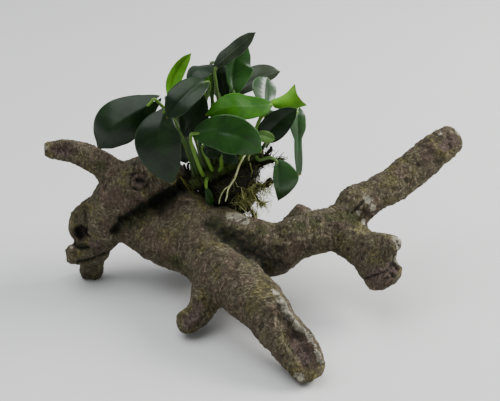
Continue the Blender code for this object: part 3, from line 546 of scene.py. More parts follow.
# The leaves. "foot" is where the leaf stalk leaves the rhizome, "stalk" the points it runs by and
# "blade" four points along the midrib, from the blade's base to its tip. "face" is where the upper
# side looks, at the base and at the tip. "half" is the width of the two halves, "lift" how far each
# is folded up, in degrees, and "broad" where the blade is broadest, from 0 to 1. "flare" is the width
# at the base, as a share, of a blade that opens out to its end, and "end" keeps a narrow blade's width.
LEAVES = {
    "leaf_left": dict(foot=(-39, 6, 81), stalk=[(-43, 10, 100), (-53, 12, 128), (-61, 10.5, 139.5), (-66, 9.5, 145)],
                      blade=[(-69.5, 8, 141.5), (-83.5, 3, 134.5), (-96.5, -1, 125.5), (-108.5, -3, 111.5)],
                      face=[(0.1, -0.8, 0.6), (-0.1, -0.9, 0.4)], half=(18, 15), lift=(-14, -20), broad=0.52),
    "leaf_front_hanging": dict(foot=(-36, 7, 82), stalk=[(-41, 3, 105), (-48, 0, 132), (-54, -5, 146)],
                               blade=[(-58, -9, 144), (-61, -18, 135), (-60, -23, 121), (-53, -24, 95)],
                               face=[(0, -0.6, 0.8), (0.1, -1, 0.1)], half=(17, 15.5), lift=(-12, -12), broad=0.54),
    "leaf_over_front": dict(foot=(-29, 10, 84.5), stalk=[(-31, 9, 110), (-31, 4, 140), (-27.5, -0.5, 160)],
                            blade=[(-30, -4, 163.5), (-38.5, -12, 161.5), (-47.5, -18, 154.5), (-56, -21, 145.5)],
                            face=[(-0.1, -0.6, 0.7), (-0.3, -0.8, 0.4)], half=(11.5, 10.5), lift=(5, 20), broad=0.5),
    "leaf_yellow_upright": dict(foot=(-33, 9, 83), stalk=[(-41, 18, 105), (-52, 20, 126)],
                                blade=[(-55, 20, 140), (-54, 26, 150), (-48.5, 31, 160), (-40.5, 34, 169)],
                                face=[(0, -0.8, 0.5), (0, -0.9, 0.4)], half=(6.5, 5.5), lift=(30, 30), broad=0.45),
    "leaf_top_left": dict(foot=(-23, 13, 86.5), stalk=[(-24, 28, 118), (-29, 33, 148), (-27, 27, 164)],
                          blade=[(-23, 18, 167), (-30, 11, 168), (-37, 6, 167), (-43, 1, 162)],
                          face=[(-0.3, 0.1, 1), (-0.5, -0.2, 0.8)], half=(9, 8), lift=(10, -25), broad=0.55),
    "leaf_top": dict(foot=(-18, 12, 88.5), stalk=[(-19, 5, 112), (-21, 4, 140), (-23, 4, 159)],
                     blade=[(-23.5, 8, 168.5), (-16, 10, 176), (-7, 11, 183.5), (5, 9, 193)],
                     face=[(-0.5, -0.5, 0.75), (-0.4, -0.5, 0.75)], half=(5, 7.4), lift=(-30, 12), broad=0.5),
    "leaf_tall": dict(foot=(-11, 13, 91), stalk=[(-11, 6, 115), (-10, 5, 138)],
                      blade=[(-11, 7, 151), (-12, 13, 161), (-10, 18, 171), (-1, 22, 180)],
                      face=[(0.1, -0.8, 0.5), (0.3, -0.9, 0.3)], half=(14.5, 6), lift=(10, 25), broad=0.52),
    "leaf_behind_tall": dict(foot=(-17, 14, 89), stalk=[(-16, 12, 115), (-15, 12, 135)],
                             blade=[(-17, 14, 145), (-20, 18, 152), (-21, 22, 159), (-20, 25, 166)],
                             face=[(-0.4, -0.8, 0.4), (-0.4, -0.9, 0.2)], half=(8.5, 4), lift=(20, 20), broad=0.45),
    "leaf_backlit": dict(foot=(-26, 11.5, 85.5), stalk=[(-26, 12, 112), (-26, 12, 145), (-25, 15, 158)],
                         blade=[(-27.5, 20, 161), (-28.5, 21, 154), (-29.8, 20, 148), (-30, 18, 141)],
                         face=[(-0.1, 0.9, 0.4), (0, 1, 0.2)], half=(5, 4.5), lift=(15, 15), broad=0.4),
    "leaf_right_back": dict(foot=(-8, 16, 92.5), stalk=[(-8, 23, 116), (-9, 25, 132)],
                            blade=[(-8, 26, 142.5), (1, 34, 147), (11, 40, 149.5), (22, 44, 151.5)],
                            face=[(-0.3, -0.7, 0.7), (-0.2, -0.8, 0.6)], half=(6, 11), lift=(-20, 5), broad=0.42),
    "leaf_pale_gloss": dict(foot=(0, 17, 96.5), stalk=[(4, 19, 115), (8, 17, 130)],
                            blade=[(10, 16, 138), (10.5, 22, 143), (11, 28, 148), (12.5, 32, 152)],
                            face=[(0.4, -0.5, 0.8), (0.45, -0.6, 0.7)], half=(8.5, 10), lift=(12, 5), broad=0.5),
    "leaf_bright_curled": dict(foot=(5, 17, 98.5), stalk=[(9, 12, 120), (12, 9, 136)],
                               blade=[(15, 8, 142), (22, 9, 142.7), (29, 10, 144.5), (35.7, 11, 148.2)],
                               face=[(0, -0.8, 0.6), (0, -0.87, 0.5)], half=(8.4, 8.8), lift=(0, 0), broad=0.9,
                               flare=0.3),
    "leaf_bright_middle": dict(foot=(-3, 15, 94.5), stalk=[(2, 7, 115), (6, 5, 130), (12, 3, 140)],
                               blade=[(14, 1, 144.7), (1, -6, 146.7), (-13, -12, 149.2), (-30, -15, 145.2)],
                               face=[(0.1, -0.6, 0.8), (0, -0.8, 0.6)], half=(10.5, 9), lift=(-6, -6), broad=0.5),
    "leaf_front": dict(foot=(-32, 9, 83.5), stalk=[(-35, -1, 96), (-40, -5, 116), (-40, -11, 128)],
                       blade=[(-36, -15.5, 131), (-20, -24, 137), (-5, -29, 135), (9, -30, 124)],
                       face=[(-0.2, -0.9, 0.5), (0.2, -0.9, 0.4)], half=(14, 12), lift=(8, 8), broad=0.5),
    "leaf_right_dark": dict(foot=(7, 17.5, 99.5), stalk=[(10, 14, 107), (11, 9, 112)],
                            blade=[(9, 4, 118), (15, 2, 126), (23, 0, 135), (31, -3, 143)],
                            face=[(-0.4, -0.9, 0.2), (-0.4, -0.9, 0.1)], half=(10, 9.3), lift=(15, 15), broad=0.42),
    "leaf_right_hanging": dict(foot=(8.5, 18, 100.5), stalk=[(17, 20, 112), (27, 18, 127), (32, 14, 135)],
                               blade=[(32.5, 8, 135.5), (33, 3, 128), (33.5, -2, 114), (34.5, -5, 93)],
                               face=[(0.4, -0.6, 0.7), (0.6, -0.8, 0)], half=(7.5, 6.5), lift=(15, 15), broad=0.28,
                               end=0.36),
    "leaf_right_low": dict(foot=(3, 16.5, 97.5), stalk=[(7, 7, 99), (14, 3, 103)],
                           blade=[(18.8, 0, 101), (20, -4, 92), (20.6, -6.5, 83), (20.3, -7.5, 72.6)],
                           face=[(0.1, -0.7, 0.7), (0.2, -0.9, 0.1)], half=(4.8, 14.6), lift=(20, 8), broad=0.4),
    "leaf_small_curled": dict(foot=(-7, 14.5, 93), stalk=[(-5, 3, 110), (-2, -6, 123)],
                              blade=[(2, -11, 128), (7, -12, 128.5), (12, -12, 127), (16, -11, 124.5)],
                              face=[(-0.1, -0.8, 0.5), (0.3, -0.8, 0.3)], half=(5, 3.5), lift=(15, 15), broad=0.6),
    "leaf_shaded_left": dict(foot=(-30, 9.5, 84), stalk=[(-35, 14, 106), (-37, 14, 132), (-35, 9, 148)],
                             blade=[(-34, 4, 151), (-38, 0, 142), (-41, -3, 133), (-46, -4, 122)],
                             face=[(0, -0.8, 0.5), (-0.2, -1, 0.2)], half=(9, 12), lift=(15, 15), broad=0.5),
    "leaf_shaded_middle": dict(foot=(-26, 11, 85.5), stalk=[(-29, 4, 98), (-33, 3, 109)],
                               blade=[(-32, -1, 114.5), (-28, -4, 114), (-24, -6, 112), (-20, -7, 109)],
                               face=[(-0.2, -0.8, 0.6), (-0.3, -0.7, 0.6)], half=(6, 6), lift=(10, 10), broad=0.5),
    "leaf_shaded_low": dict(foot=(-37, 7.5, 82), stalk=[(-42, 20, 92), (-48, 23, 108)],
                            blade=[(-47.5, 18.5, 113), (-47, 17, 105.5), (-46.5, 16, 98), (-46, 15.5, 91)],
                            face=[(0, -1, 0.3), (0, -1, 0)], half=(7, 6), lift=(10, 10), broad=0.5),
    "leaf_new": dict(foot=(-30, 9.5, 84), stalk=[(-31, 1, 86)],
                     blade=[(-31, -2, 82), (-29.5, -3, 77), (-28.5, -3.5, 72), (-27, -3.5, 68)],
                     face=[(0, -0.9, 0.5), (0, -1, 0)], half=(3, 3.4), lift=(30, 30), broad=0.5),
    "leaf_under_front": dict(foot=(-22, 12, 87), stalk=[(-20, 1, 97), (-20, -8, 107)],
                             blade=[(-19, -13, 112.5), (-16, -15, 113), (-12, -16, 112), (-8, -16.5, 109.5)],
                             face=[(-0.3, -0.8, 0.6), (0.3, -0.9, 0.4)], half=(4, 3.5), lift=(10, 10), broad=0.5),
    "leaf_back_left": dict(foot=(-32, 9.5, 83.5), stalk=[(-38, 28, 100), (-45, 36, 118)],
                           blade=[(-45, 40, 127), (-49, 48, 129), (-53, 56, 124), (-57, 62, 114)],
                           face=[(0, 0.3, 1), (-0.3, 0.7, 0.6)], half=(12, 12), lift=(12, 12), broad=0.45),
    "leaf_back_middle": dict(foot=(-14, 14, 90), stalk=[(-15, 32, 108), (-14, 38, 124)],
                             blade=[(-14, 43, 131), (-15, 52, 133), (-17, 61, 128), (-19, 68, 116)],
                             face=[(0, 0.2, 1), (0, 0.8, 0.6)], half=(13, 13), lift=(12, 12), broad=0.45),
    "leaf_back_high": dict(foot=(-24, 12, 86.5), stalk=[(-20, 36, 112), (-22, 42, 132)],
                           blade=[(-28, 37, 145), (-30, 45, 149), (-34, 53, 147), (-37, 60, 140)],
                           face=[(0, 0.2, 1), (-0.1, 0.5, 0.8)], half=(10, 10), lift=(12, 12), broad=0.45),
    "leaf_back_top": dict(foot=(-10, 14, 92), stalk=[(-12, 27, 112), (-13, 31, 135)],
                          blade=[(-13, 35, 153), (-13, 44, 158), (-12, 52, 158), (-12, 58, 153)],
                          face=[(0, -0.1, 1), (0, 0.5, 0.8)], half=(9, 9), lift=(12, 12), broad=0.45),
    "leaf_back_right": dict(foot=(3, 16.5, 97.5), stalk=[(6, 28, 106), (11, 34, 113)],
                            blade=[(13, 38, 117), (17, 45, 118), (20, 52, 114), (22, 57, 105)],
                            face=[(0.2, 0.3, 1), (0.4, 0.8, 0.5)], half=(10, 10), lift=(12, 12), broad=0.45),
}
RHIZOME = [(-42, 4, 80, 3.4), (-35, 7.5, 82.5, 4.8), (-22, 12, 87, 5), (-4, 15, 94, 4.8), (9, 18, 100.5, 3.8)]
PALE_ROOT = [(-1, 8.5, 98, 0.9), (0, -4, 110, 1.1), (-5, -13, 111, 1.1), (-10, -14, 97, 1.0), (-15, -14, 88, 0.9),
             (-17, -14, 77, 0.7)]

# Leaf colours, as linear light: the upper side's dark and light parts, and the underside. The fresh and lime looks are
# painted light: the bright green of a leaf lit through from behind.
LEAF_COLOURS = {
    "deep": ((0.003, 0.012, 0.002), (0.007, 0.024, 0.004), (0.04, 0.10, 0.02)),
    "middle": ((0.006, 0.033, 0.003), (0.015, 0.066, 0.006), (0.06, 0.18, 0.02)),
    "fresh": ((0.014, 0.070, 0.002), (0.034, 0.135, 0.003), (0.10, 0.30, 0.02)),
    "lime": ((0.072, 0.225, 0.010), (0.150, 0.360, 0.024), (0.20, 0.42, 0.05)),
    "olive": ((0.012, 0.021, 0.009), (0.028, 0.042, 0.020), (0.08, 0.13, 0.05)),
    "soft": ((0.045, 0.105, 0.016), (0.085, 0.170, 0.038), (0.12, 0.25, 0.05)),
}
GLOSSY = ("leaf_pale_gloss", "leaf_right_hanging", "leaf_right_low")
# The leaves given the fresh and lime looks are painted as lit through from behind.
LEAF_LOOKS = {
    "leaf_yellow_upright": "lime", "leaf_bright_curled": "lime", "leaf_backlit": "fresh",
    "leaf_bright_middle": "fresh", "leaf_small_curled": "soft", "leaf_top": "olive", "leaf_right_back": "olive",
    "leaf_front": "middle", "leaf_tall": "middle", "leaf_pale_gloss": "middle", "leaf_right_hanging": "middle",
    "leaf_right_low": "middle", "leaf_new": "middle", "leaf_back_top": "middle", "leaf_back_right": "middle",
}
# What sets a blade apart from the plain one: "ears" how far its base lobes reach back and "curl" how
# far its tip bends down, both as shares of its length, "wave" the height of its wavy margin in mm,
# "plump" how full its outline is, from 1, lean, towards 0, "end" how broad a narrow blade stays and
# "fresh" how bright its stalk is at the foot and at the blade.
PLAIN_BLADE = dict(ears=0.05, curl=0.05, wave=1.0, plump=0.60, end=0.0, fresh=(0.1, 0.35))
BLADE_CHANGES = {
    "leaf_left": dict(ears=0.20, curl=0.14, wave=2.0, fresh=(0.1, 1.0)),
    "leaf_front_hanging": dict(ears=0.07, curl=0.04, wave=1.2, plump=0.56),
    "leaf_over_front": dict(ears=0.07, wave=1.4),
    "leaf_yellow_upright": dict(ears=0.0, curl=-0.08, wave=0.6),
    "leaf_top": dict(ears=0.0, curl=-0.04, wave=1.6),
    "leaf_tall": dict(ears=0.06, curl=0.08, wave=1.4),
    "leaf_bright_curled": dict(ears=0.0, curl=0.0, wave=0.5, fresh=(0.5, 1.0)),
    "leaf_bright_middle": dict(ears=0.04, wave=1.2, fresh=(0.6, 1.0)),
    "leaf_front": dict(ears=0.06, curl=0.06, wave=0.9, fresh=(1.0, 0.9)),
    "leaf_right_hanging": dict(ears=0.10, curl=0.0, wave=0.8, end=0.52, fresh=(0.5, 0.9)),
    "leaf_right_low": dict(ears=0.06, curl=0.05, wave=1.2, plump=0.95, fresh=(0.4, 0.7)),
    "leaf_small_curled": dict(ears=0.0, curl=-0.1, wave=0.4, fresh=(0.5, 1.0)),
    "leaf_shaded_middle": dict(fresh=(1.0, 0.8)),
    "leaf_under_front": dict(fresh=(0.9, 0.6)),
    "leaf_new": dict(ears=0.0, fresh=(1.0, 1.0)),
}

BLADE_ROWS = 44
BLADE_COLUMNS = 11
STALK_SIDES = 12
STEM_RADIUS = 1.15


def smooth_path(stations, step):
    """Points about step apart on a Catmull-Rom curve through the stations."""
    points = [Vector(s) for s in stations]
    count = max(2, round(sum((b - a).length for a, b in zip(points, points[1:])) / step))
    return [on_curve(points, (len(points) - 1) * i / count) for i in range(count + 1)]


def on_curve(points, t):
    """A point on the Catmull-Rom curve through points, with t counted in points from the first."""
    i = min(int(t), len(points) - 2)
    t -= i
    start, end = points[i], points[i + 1]
    before = points[i - 1] if i else 2 * start - end
    after = points[i + 2] if i + 2 < len(points) else 2 * end - start
    return 0.5 * (2 * start + (end - before) * t + (2 * before - 5 * start + 4 * end - after) * t * t
                  + (3 * start - before - 3 * end + after) * t ** 3)


def ease(low, high, value):
    share = min(max((value - low) / (high - low), 0.0), 1.0)
    return share * share * (3 - 2 * share)


def blade_width(t, shape, plump, end):
    """The blade's half width at t from base to tip, as a share of the broadest."""
    if "flare" in shape:
        return shape["flare"] + (1 - shape["flare"]) * t
    power = math.log(0.5) / math.log(shape["broad"])
    body = max(math.sin(math.pi * min(t, 1) ** power), 0) ** plump
    if "end" in shape:
        body *= 1 - 0.55 * ease(0.38, 0.66, t)
        return max(body, end * (1 - 0.6 * t ** 12) * min(t * 8, 1))
    return body * (1 - 0.45 * ease(0.88, 1.0, t))


def rhizome_near(point):
    path = smooth_path(RHIZOME, 1.0)
    best = min(path, key=lambda p: (Vector(p[:3]) - point).length)
    return Vector(best[:3]), best[3]


def leaf_line(shape):
    """The points that the leaf's stalk and midrib run by, and the place of the blade's base among them."""
    points = [Vector(p) for p in shape["stalk"]]
    root, radius = rhizome_near(Vector(shape["foot"]))
    start = root + (points[0] - root).normalized() * (radius - 0.5)
    return [start, *points, *[Vector(p) for p in shape["blade"]]], len(points) + 1


def add_loft(mesh, rings, values, closed_ends=True):
    """Rings of points joined into a skin. Each value is a name with one number for every ring and point."""
    layers = {name: mesh.verts.layers.float.get(name) or mesh.verts.layers.float.new(name) for name in values}
    loops = []
    for i, ring in enumerate(rings):
        loop = []
        for k, point in enumerate(ring):
            vertex = mesh.verts.new(point)
            for name, layer in layers.items():
                vertex[layer] = values[name](i, k)
            loop.append(vertex)
        loops.append(loop)
    sides = len(loops[0])
    for low, high in zip(loops, loops[1:]):
        for i in range(sides):
            j = (i + 1) % sides
            mesh.faces.new((low[i], low[j], high[j], high[i]))
    if closed_ends:
        mesh.faces.new(loops[0][::-1])
        mesh.faces.new(loops[-1])


def round_rings(stations, sides):
    """Rings of a round tube through stations of x, y, z and radius, in the sketch's millimetres."""
    centres = [Vector(s[:3]) for s in stations]
    rings = []
    normal = None
    for i, (station, centre) in enumerate(zip(stations, centres)):
        tangent = (centres[min(i + 1, len(centres) - 1)] - centres[max(i - 1, 0)]).normalized()
        if normal is None:
            normal = tangent.orthogonal()
        normal = (normal - tangent * normal.dot(tangent)).normalized()
        side = tangent.cross(normal)
        rings.append([sketch(*(centre + (normal * math.cos(a) + side * math.sin(a)) * station[3]))
                      for a in (2 * math.pi * k / sides for k in range(sides))])
    return rings


def blade_frame(line, place, face):
    centre = on_curve(line, place)
    ahead = on_curve(line, min(place + 0.05, len(line) - 1)) - on_curve(line, max(place - 0.05, 0))
    tangent = ahead.normalized()
    up = (face - tangent * face.dot(tangent)).normalized()
    return centre, tangent.cross(up), up


def blade_bend(curl, t):
    """How far the blade lies above its midrib's curve at t, in mm: below nought where the tip bends down."""
    return -curl * ease(0.60, 1.15, t) * 1.6


def leaf_piece(name, shape, seed):
    change = {**PLAIN_BLADE, **BLADE_CHANGES.get(name, {})}
    line, base = leaf_line(shape)
    faces = [Vector(f).normalized() for f in shape["face"]]
    marks = [on_curve(line, base + 3 * k / 20) for k in range(21)]
    length = sum((high - low).length for low, high in zip(marks, marks[1:]))
    across = [k / BLADE_COLUMNS for k in range(-BLADE_COLUMNS, BLADE_COLUMNS + 1)]
    ring_across = across[::-1] + across
    rows = [0.5 - 0.5 * math.cos(math.pi * (0.03 + 0.97 * j / BLADE_ROWS)) for j in range(BLADE_ROWS + 1)]
    start, _, _ = blade_frame(line, base, faces[0])
    back = (on_curve(line, base + 0.1) - start).normalized()
    mesh = bmesh.new()
    rings = []
    for t in rows:
        _, side, up = blade_frame(line, base + 3 * t, faces[0] * (1 - t) + faces[1] * t)
        share = blade_width(t, shape, change["plump"], change["end"])
        ring = []
        for k, u in enumerate(ring_across):
            place = t - change["ears"] * u * u * (1 - t) ** 5
            if "flare" in shape:
                place = t * (1 - (0.13 * (1 - u * u) + 0.05 * u ** 8) * ease(0.4, 1.0, t))
            centre = on_curve(line, base + 3 * place) if place >= 0 else start + back * place * length
            half, lift = (shape["half"][0], shape["lift"][0]) if u > 0 else (shape["half"][1], shape["lift"][1])
            width = max(half * share, 0.12)
            reach = width * u
            lift = math.radians(lift)
            wave = change["wave"] * abs(u) ** 2.5 * math.sin(math.pi * t) * 1.6 * noise.noise(
                Vector((t * 2.8 + seed * 3.7, math.copysign(1.3, u), seed)))
            groove = -0.5 * math.exp(-(reach / 1.3) ** 2) * (1 - t) ** 0.5 * (lift > 0)
            quilt = 0.06 * math.sin(2 * math.pi * (t * 7 - abs(u) * 1.4)) * (1 - abs(u)) * min(abs(u) * 4, 1)
            round_off = -(0.45 if "flare" in shape else 0.13) * width * abs(u) ** 2.2
            bend = blade_bend(change["curl"] * length, t)
            height = abs(reach) * math.sin(lift) + round_off + wave + groove + quilt + bend
            thick = 0.5 * (0.60 - 0.38 * abs(u)) * (1 if k < len(across) else -1)
            ring.append(sketch(*(centre + side * reach * math.cos(lift) + up * (height + thick))))
        rings.append(ring)
    count = len(across)
    add_loft(mesh, rings, {"across": lambda i, k: ring_across[k], "along": lambda i, k: rows[i],
                           "under": lambda i, k: 0.0 if k < count else 1.0, "stalk": lambda i, k: 0.0,
                           "fresh": lambda i, k: 0.0})
    stalk_steps = [base * k / 14 for k in range(14)] + [base + 3 * t for t in (0, 0.08, 0.2, 0.35, 0.5, 0.65, 0.75)]
    stations = []
    for place in stalk_steps:
        t = max(0.0, (place - base) / 3)
        centre, _, up = blade_frame(line, place, faces[0] * (1 - t) + faces[1] * t)
        radius = STEM_RADIUS * (1.25 - 0.35 * min(place / base, 1)) * (1 - 0.85 * t)
        sink = 0.0 if place < base else min(1.0, (place - base) * 4) * (radius * 0.7 + 0.9)
        centre = centre + up * (blade_bend(change["curl"] * length, t) - sink)
        stations.append((*centre, radius))
    low, high = change["fresh"]
    stalk_share = [1.0 if place <= base else max(0.0, 1 - (place - base) / 0.8) for place in stalk_steps]
    add_loft(mesh, round_rings(stations, STALK_SIDES),
             {"across": lambda i, k: 0.0, "along": lambda i, k: 0.3, "under": lambda i, k: 1.0,
              "stalk": lambda i, k: stalk_share[i],
              "fresh": lambda i, k: low + (high - low) * min(stalk_steps[i] / base, 1)})
    bmesh.ops.recalc_face_normals(mesh, faces=mesh.faces)
    made = object_from(mesh, name + "_blade")
    smooth(made)
    made.data.materials.append(leaf_material(LEAF_LOOKS.get(name, "deep"), name in GLOSSY))
    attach(made, "root")
    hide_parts(name)
    return made


LEAF_MATERIALS = {}


def leaf_material(look, glossy):
    """A waxy leaf in one of the looks, which shines more when it is glossy."""
    key = look + ("_glossy" if glossy else "")
    if key in LEAF_MATERIALS:
        return LEAF_MATERIALS[key]
    dark, light, below = LEAF_COLOURS[look]
    # The fresh and lime looks, painted backlight, also shine less.
    lit_from_behind = look in ("fresh", "lime")
    leaf = Shader("leaf_" + key)
    across, along = leaf.attribute("across"), leaf.attribute("along")
    out = leaf.sum("ABSOLUTE", across)
    mottle = leaf.noise(70.0, 3.0, 0.5)
    base = leaf.mix(leaf.ramp(mottle, [(0.35, 0.0), (0.65, 1.0)]), dark, light)
    phase = leaf.sum("MULTIPLY", leaf.sum("SUBTRACT", along, leaf.sum("MULTIPLY", leaf.sum("POWER", out, 1.3), 0.20)),
                     44.0)
    veins = leaf.ramp(leaf.sum("SINE", phase), [(0.80, 0.0), (1.0, 1.0)])
    vein_tone = tuple(min(1.0, 1.35 * c + 0.008) for c in light)
    base = leaf.mix(leaf.sum("MULTIPLY", veins, 0.16), base, vein_tone)
    middle = leaf.ramp(out, [(0.0, 0.30), (0.05, 0.0)])
    base = leaf.mix(middle, base, vein_tone)
    rim = leaf.ramp(out, [(0.955, 0.0), (1.0, 0.7)])
    base = leaf.mix(rim, base, tuple(min(1.0, 2.2 * c + 0.03) for c in light))
    tip = leaf.ramp(along, [(0.975, 0.0), (1.0, 0.8)])
    base = leaf.mix(tip, base, (0.20, 0.13, 0.03))
    base = leaf.mix(leaf.attribute("under"), base, below)
    stalk = leaf.mix(leaf.attribute("fresh"), (0.014, 0.028, 0.008), (0.150, 0.290, 0.040))
    base = leaf.mix(leaf.attribute("stalk"), base, stalk)
    rise = leaf.sum("ADD", leaf.sum("MULTIPLY", veins, -0.3), leaf.noise(1500.0, 2.0))
    LEAF_MATERIALS[key] = leaf.finish(
        Base_Color=base, Roughness=leaf.ramp(leaf.noise(120.0), [(0.3, 0.34), (0.7, 0.46)]),
        Specular_IOR_Level=0.45 if glossy else 0.12 if lit_from_behind else 0.22,
        Coat_Weight=0.4 if glossy else 0.0 if lit_from_behind else 0.08, Coat_Roughness=0.14,
        Normal=leaf.bump(rise, 0.22, 0.0002))
    return LEAF_MATERIALS[key]


# The roots


def root_material():
    root = Shader("roots")
    tone = root.attribute("tone")
    speck = root.noise(700.0, 3.0, 0.6)
    base = root.ramp(root.sum("ADD", tone, root.sum("MULTIPLY", root.sum("SUBTRACT", speck, 0.5), 0.35)),
                     [(0.0, (0.008, 0.007, 0.004)), (0.25, (0.030, 0.026, 0.010)), (0.5, (0.085, 0.085, 0.020)),
                      (0.75, (0.28, 0.30, 0.07)), (1.0, (0.58, 0.56, 0.26))])
    return root.finish(Base_Color=base, Roughness=0.7, Specular_IOR_Level=0.3, Normal=root.bump(speck, 0.5, 0.0003))


def thread(mesh, points, radius, tone, blunt=0.25):
    """A fine root through the points, in metres, thinner towards its end."""
    rings = []
    normal = None
    for i, centre in enumerate(points):
        tangent = (points[min(i + 1, len(points) - 1)] - points[max(i - 1, 0)]).normalized()
        if normal is None:
            normal = tangent.orthogonal()
        normal = (normal - tangent * normal.dot(tangent)).normalized()
        side = tangent.cross(normal)
        thin = radius * (1 - (1 - blunt) * i / (len(points) - 1)) * MM
        rings.append([centre + (normal * math.cos(a) + side * math.sin(a)) * thin for a in (0, 2.094, 4.189)])
    add_loft(mesh, rings, {"tone": lambda i, k: tone})


def wander(tree, start, heading, length, hug, lift, fall, seed):
    """The way of one fibre that creeps over the pad, or hangs off it where hug is small."""
    steps = max(5, int(length / 1.5))
    place, way = start.copy(), heading.normalized()
    points = [place.copy()]
    for k in range(steps):
        swirl = Vector(noise.noise_vector(Vector((seed * 9.1, k * 0.33, seed * 0.37))))
        way = (way + 0.8 * swirl + Vector((0, 0, -fall))).normalized()
        place = place + way * (length / steps) * MM
        if hug > 0:
            spot, normal, _, _ = tree.find_nearest(place)
            off = (0.2 + lift * abs(noise.noise(Vector((seed, k * 0.5, 3.1))))) * MM
            place = place.lerp(spot + normal * off, hug)
        points.append(place.copy())
    return points


def at_depth(x, y, depth):
    """The place seen at a pixel of the photograph at a depth of the sketch, in metres."""
    way = FORWARD * FOCAL_PIXELS + RIGHT * (x - IMAGE[0] / 2) + UPWARD * (IMAGE[1] / 2 - y)
    return EYE + way * ((sketch(0, depth, 0).y - EYE.y) / way.y)


# Roots that the photograph shows one by one: pixels with a depth in the sketch, a radius in mm and a
# tone from 0, black, over olive to 1, pale yellow. Those with no depth lie on the wood. The five thick
# dark ones are painted shade, not roots the photograph shows.
SHOWN_ROOTS = [
    ([(226, 207, 5), (236, 204, 3), (247, 200, 2), (256, 194, 2), (265, 187, 4)], 0.45, 0.66),
    ([(238, 196, 4), (249, 203, 2), (254, 212, 1), (256, 222, 0)], 0.55, 0.86),
    ([(252, 192, 4), (257, 202, 2), (257, 213, 0), (255, 223, -1)], 0.45, 0.92),
    ([(234, 202, 3), (242, 208, 1), (249, 215, -1), (254, 221, -2)], 0.50, 0.90),
    ([(243, 190, 5), (256, 190, 4), (264, 184, 5), (269, 182, 6)], 0.35, 0.55),
    ([(250, 163, 4), (252, 170, 3), (251, 178, 3), (249, 186, 5)], 0.60, 0.62),
    ([(258, 184, 6), (267, 187, 4), (263, 193, 3), (265, 199, 2)], 0.20, 0.75),
    ([(254, 190, 5), (261, 197, 3), (259, 205, 2), (262, 210, 1)], 0.22, 0.82),
    ([(246, 198, 3), (252, 207, 1), (249, 214, 0)], 0.30, 0.95),
    ([(230, 203, 3), (240, 203, 1), (246, 209, -1)], 0.40, 0.95),
    ([(262, 166, 8), (268, 159, 7), (272, 151, 7), (271, 146, 7)], 0.55, 0.14),
    ([(264, 163, 8), (272, 157, 6), (279, 150, 6)], 0.45, 0.16),
    ([(256, 168, 8), (266, 164, 6), (276, 160, 5), (284, 156, 5)], 0.50, 0.20),
    ([(262, 160, 8), (258, 153, 7), (262, 149, 7)], 0.40, 0.22),
    ([(272, 157, 6), (275, 163, 5), (273, 168, 5)], 0.60, 0.48),
    ([(276, 160, 5), (281, 156, 5), (284, 152, 5)], 0.55, 0.50),
    # Painted shade: thick near-black threads that fill the gap behind the plant, where the wood lies in shadow.
    ([(184, 164, 17), (186, 175, 17), (187, 186, 14)], 1.1, 0.06),
    ([(188, 163, 18), (188, 175, 18), (190, 187, 14)], 1.2, 0.10),
    ([(192, 164, 17), (191, 176, 17), (193, 188, 13)], 1.1, 0.05),
    ([(185, 168, 19), (189, 180, 16), (188, 191, 12)], 0.9, 0.14),
    ([(195, 170, 16), (193, 182, 14), (196, 193, 11)], 0.8, 0.10),
    ([(187, 180), (190, 186), (192, 193), (196, 201)], 0.35, 0.62),
    ([(190, 180), (194, 187), (199, 190), (201, 196)], 0.30, 0.58),
    ([(185, 183), (188, 189), (187, 196)], 0.25, 0.50),
    ([(193, 184), (191, 191), (195, 197)], 0.25, 0.66),
]


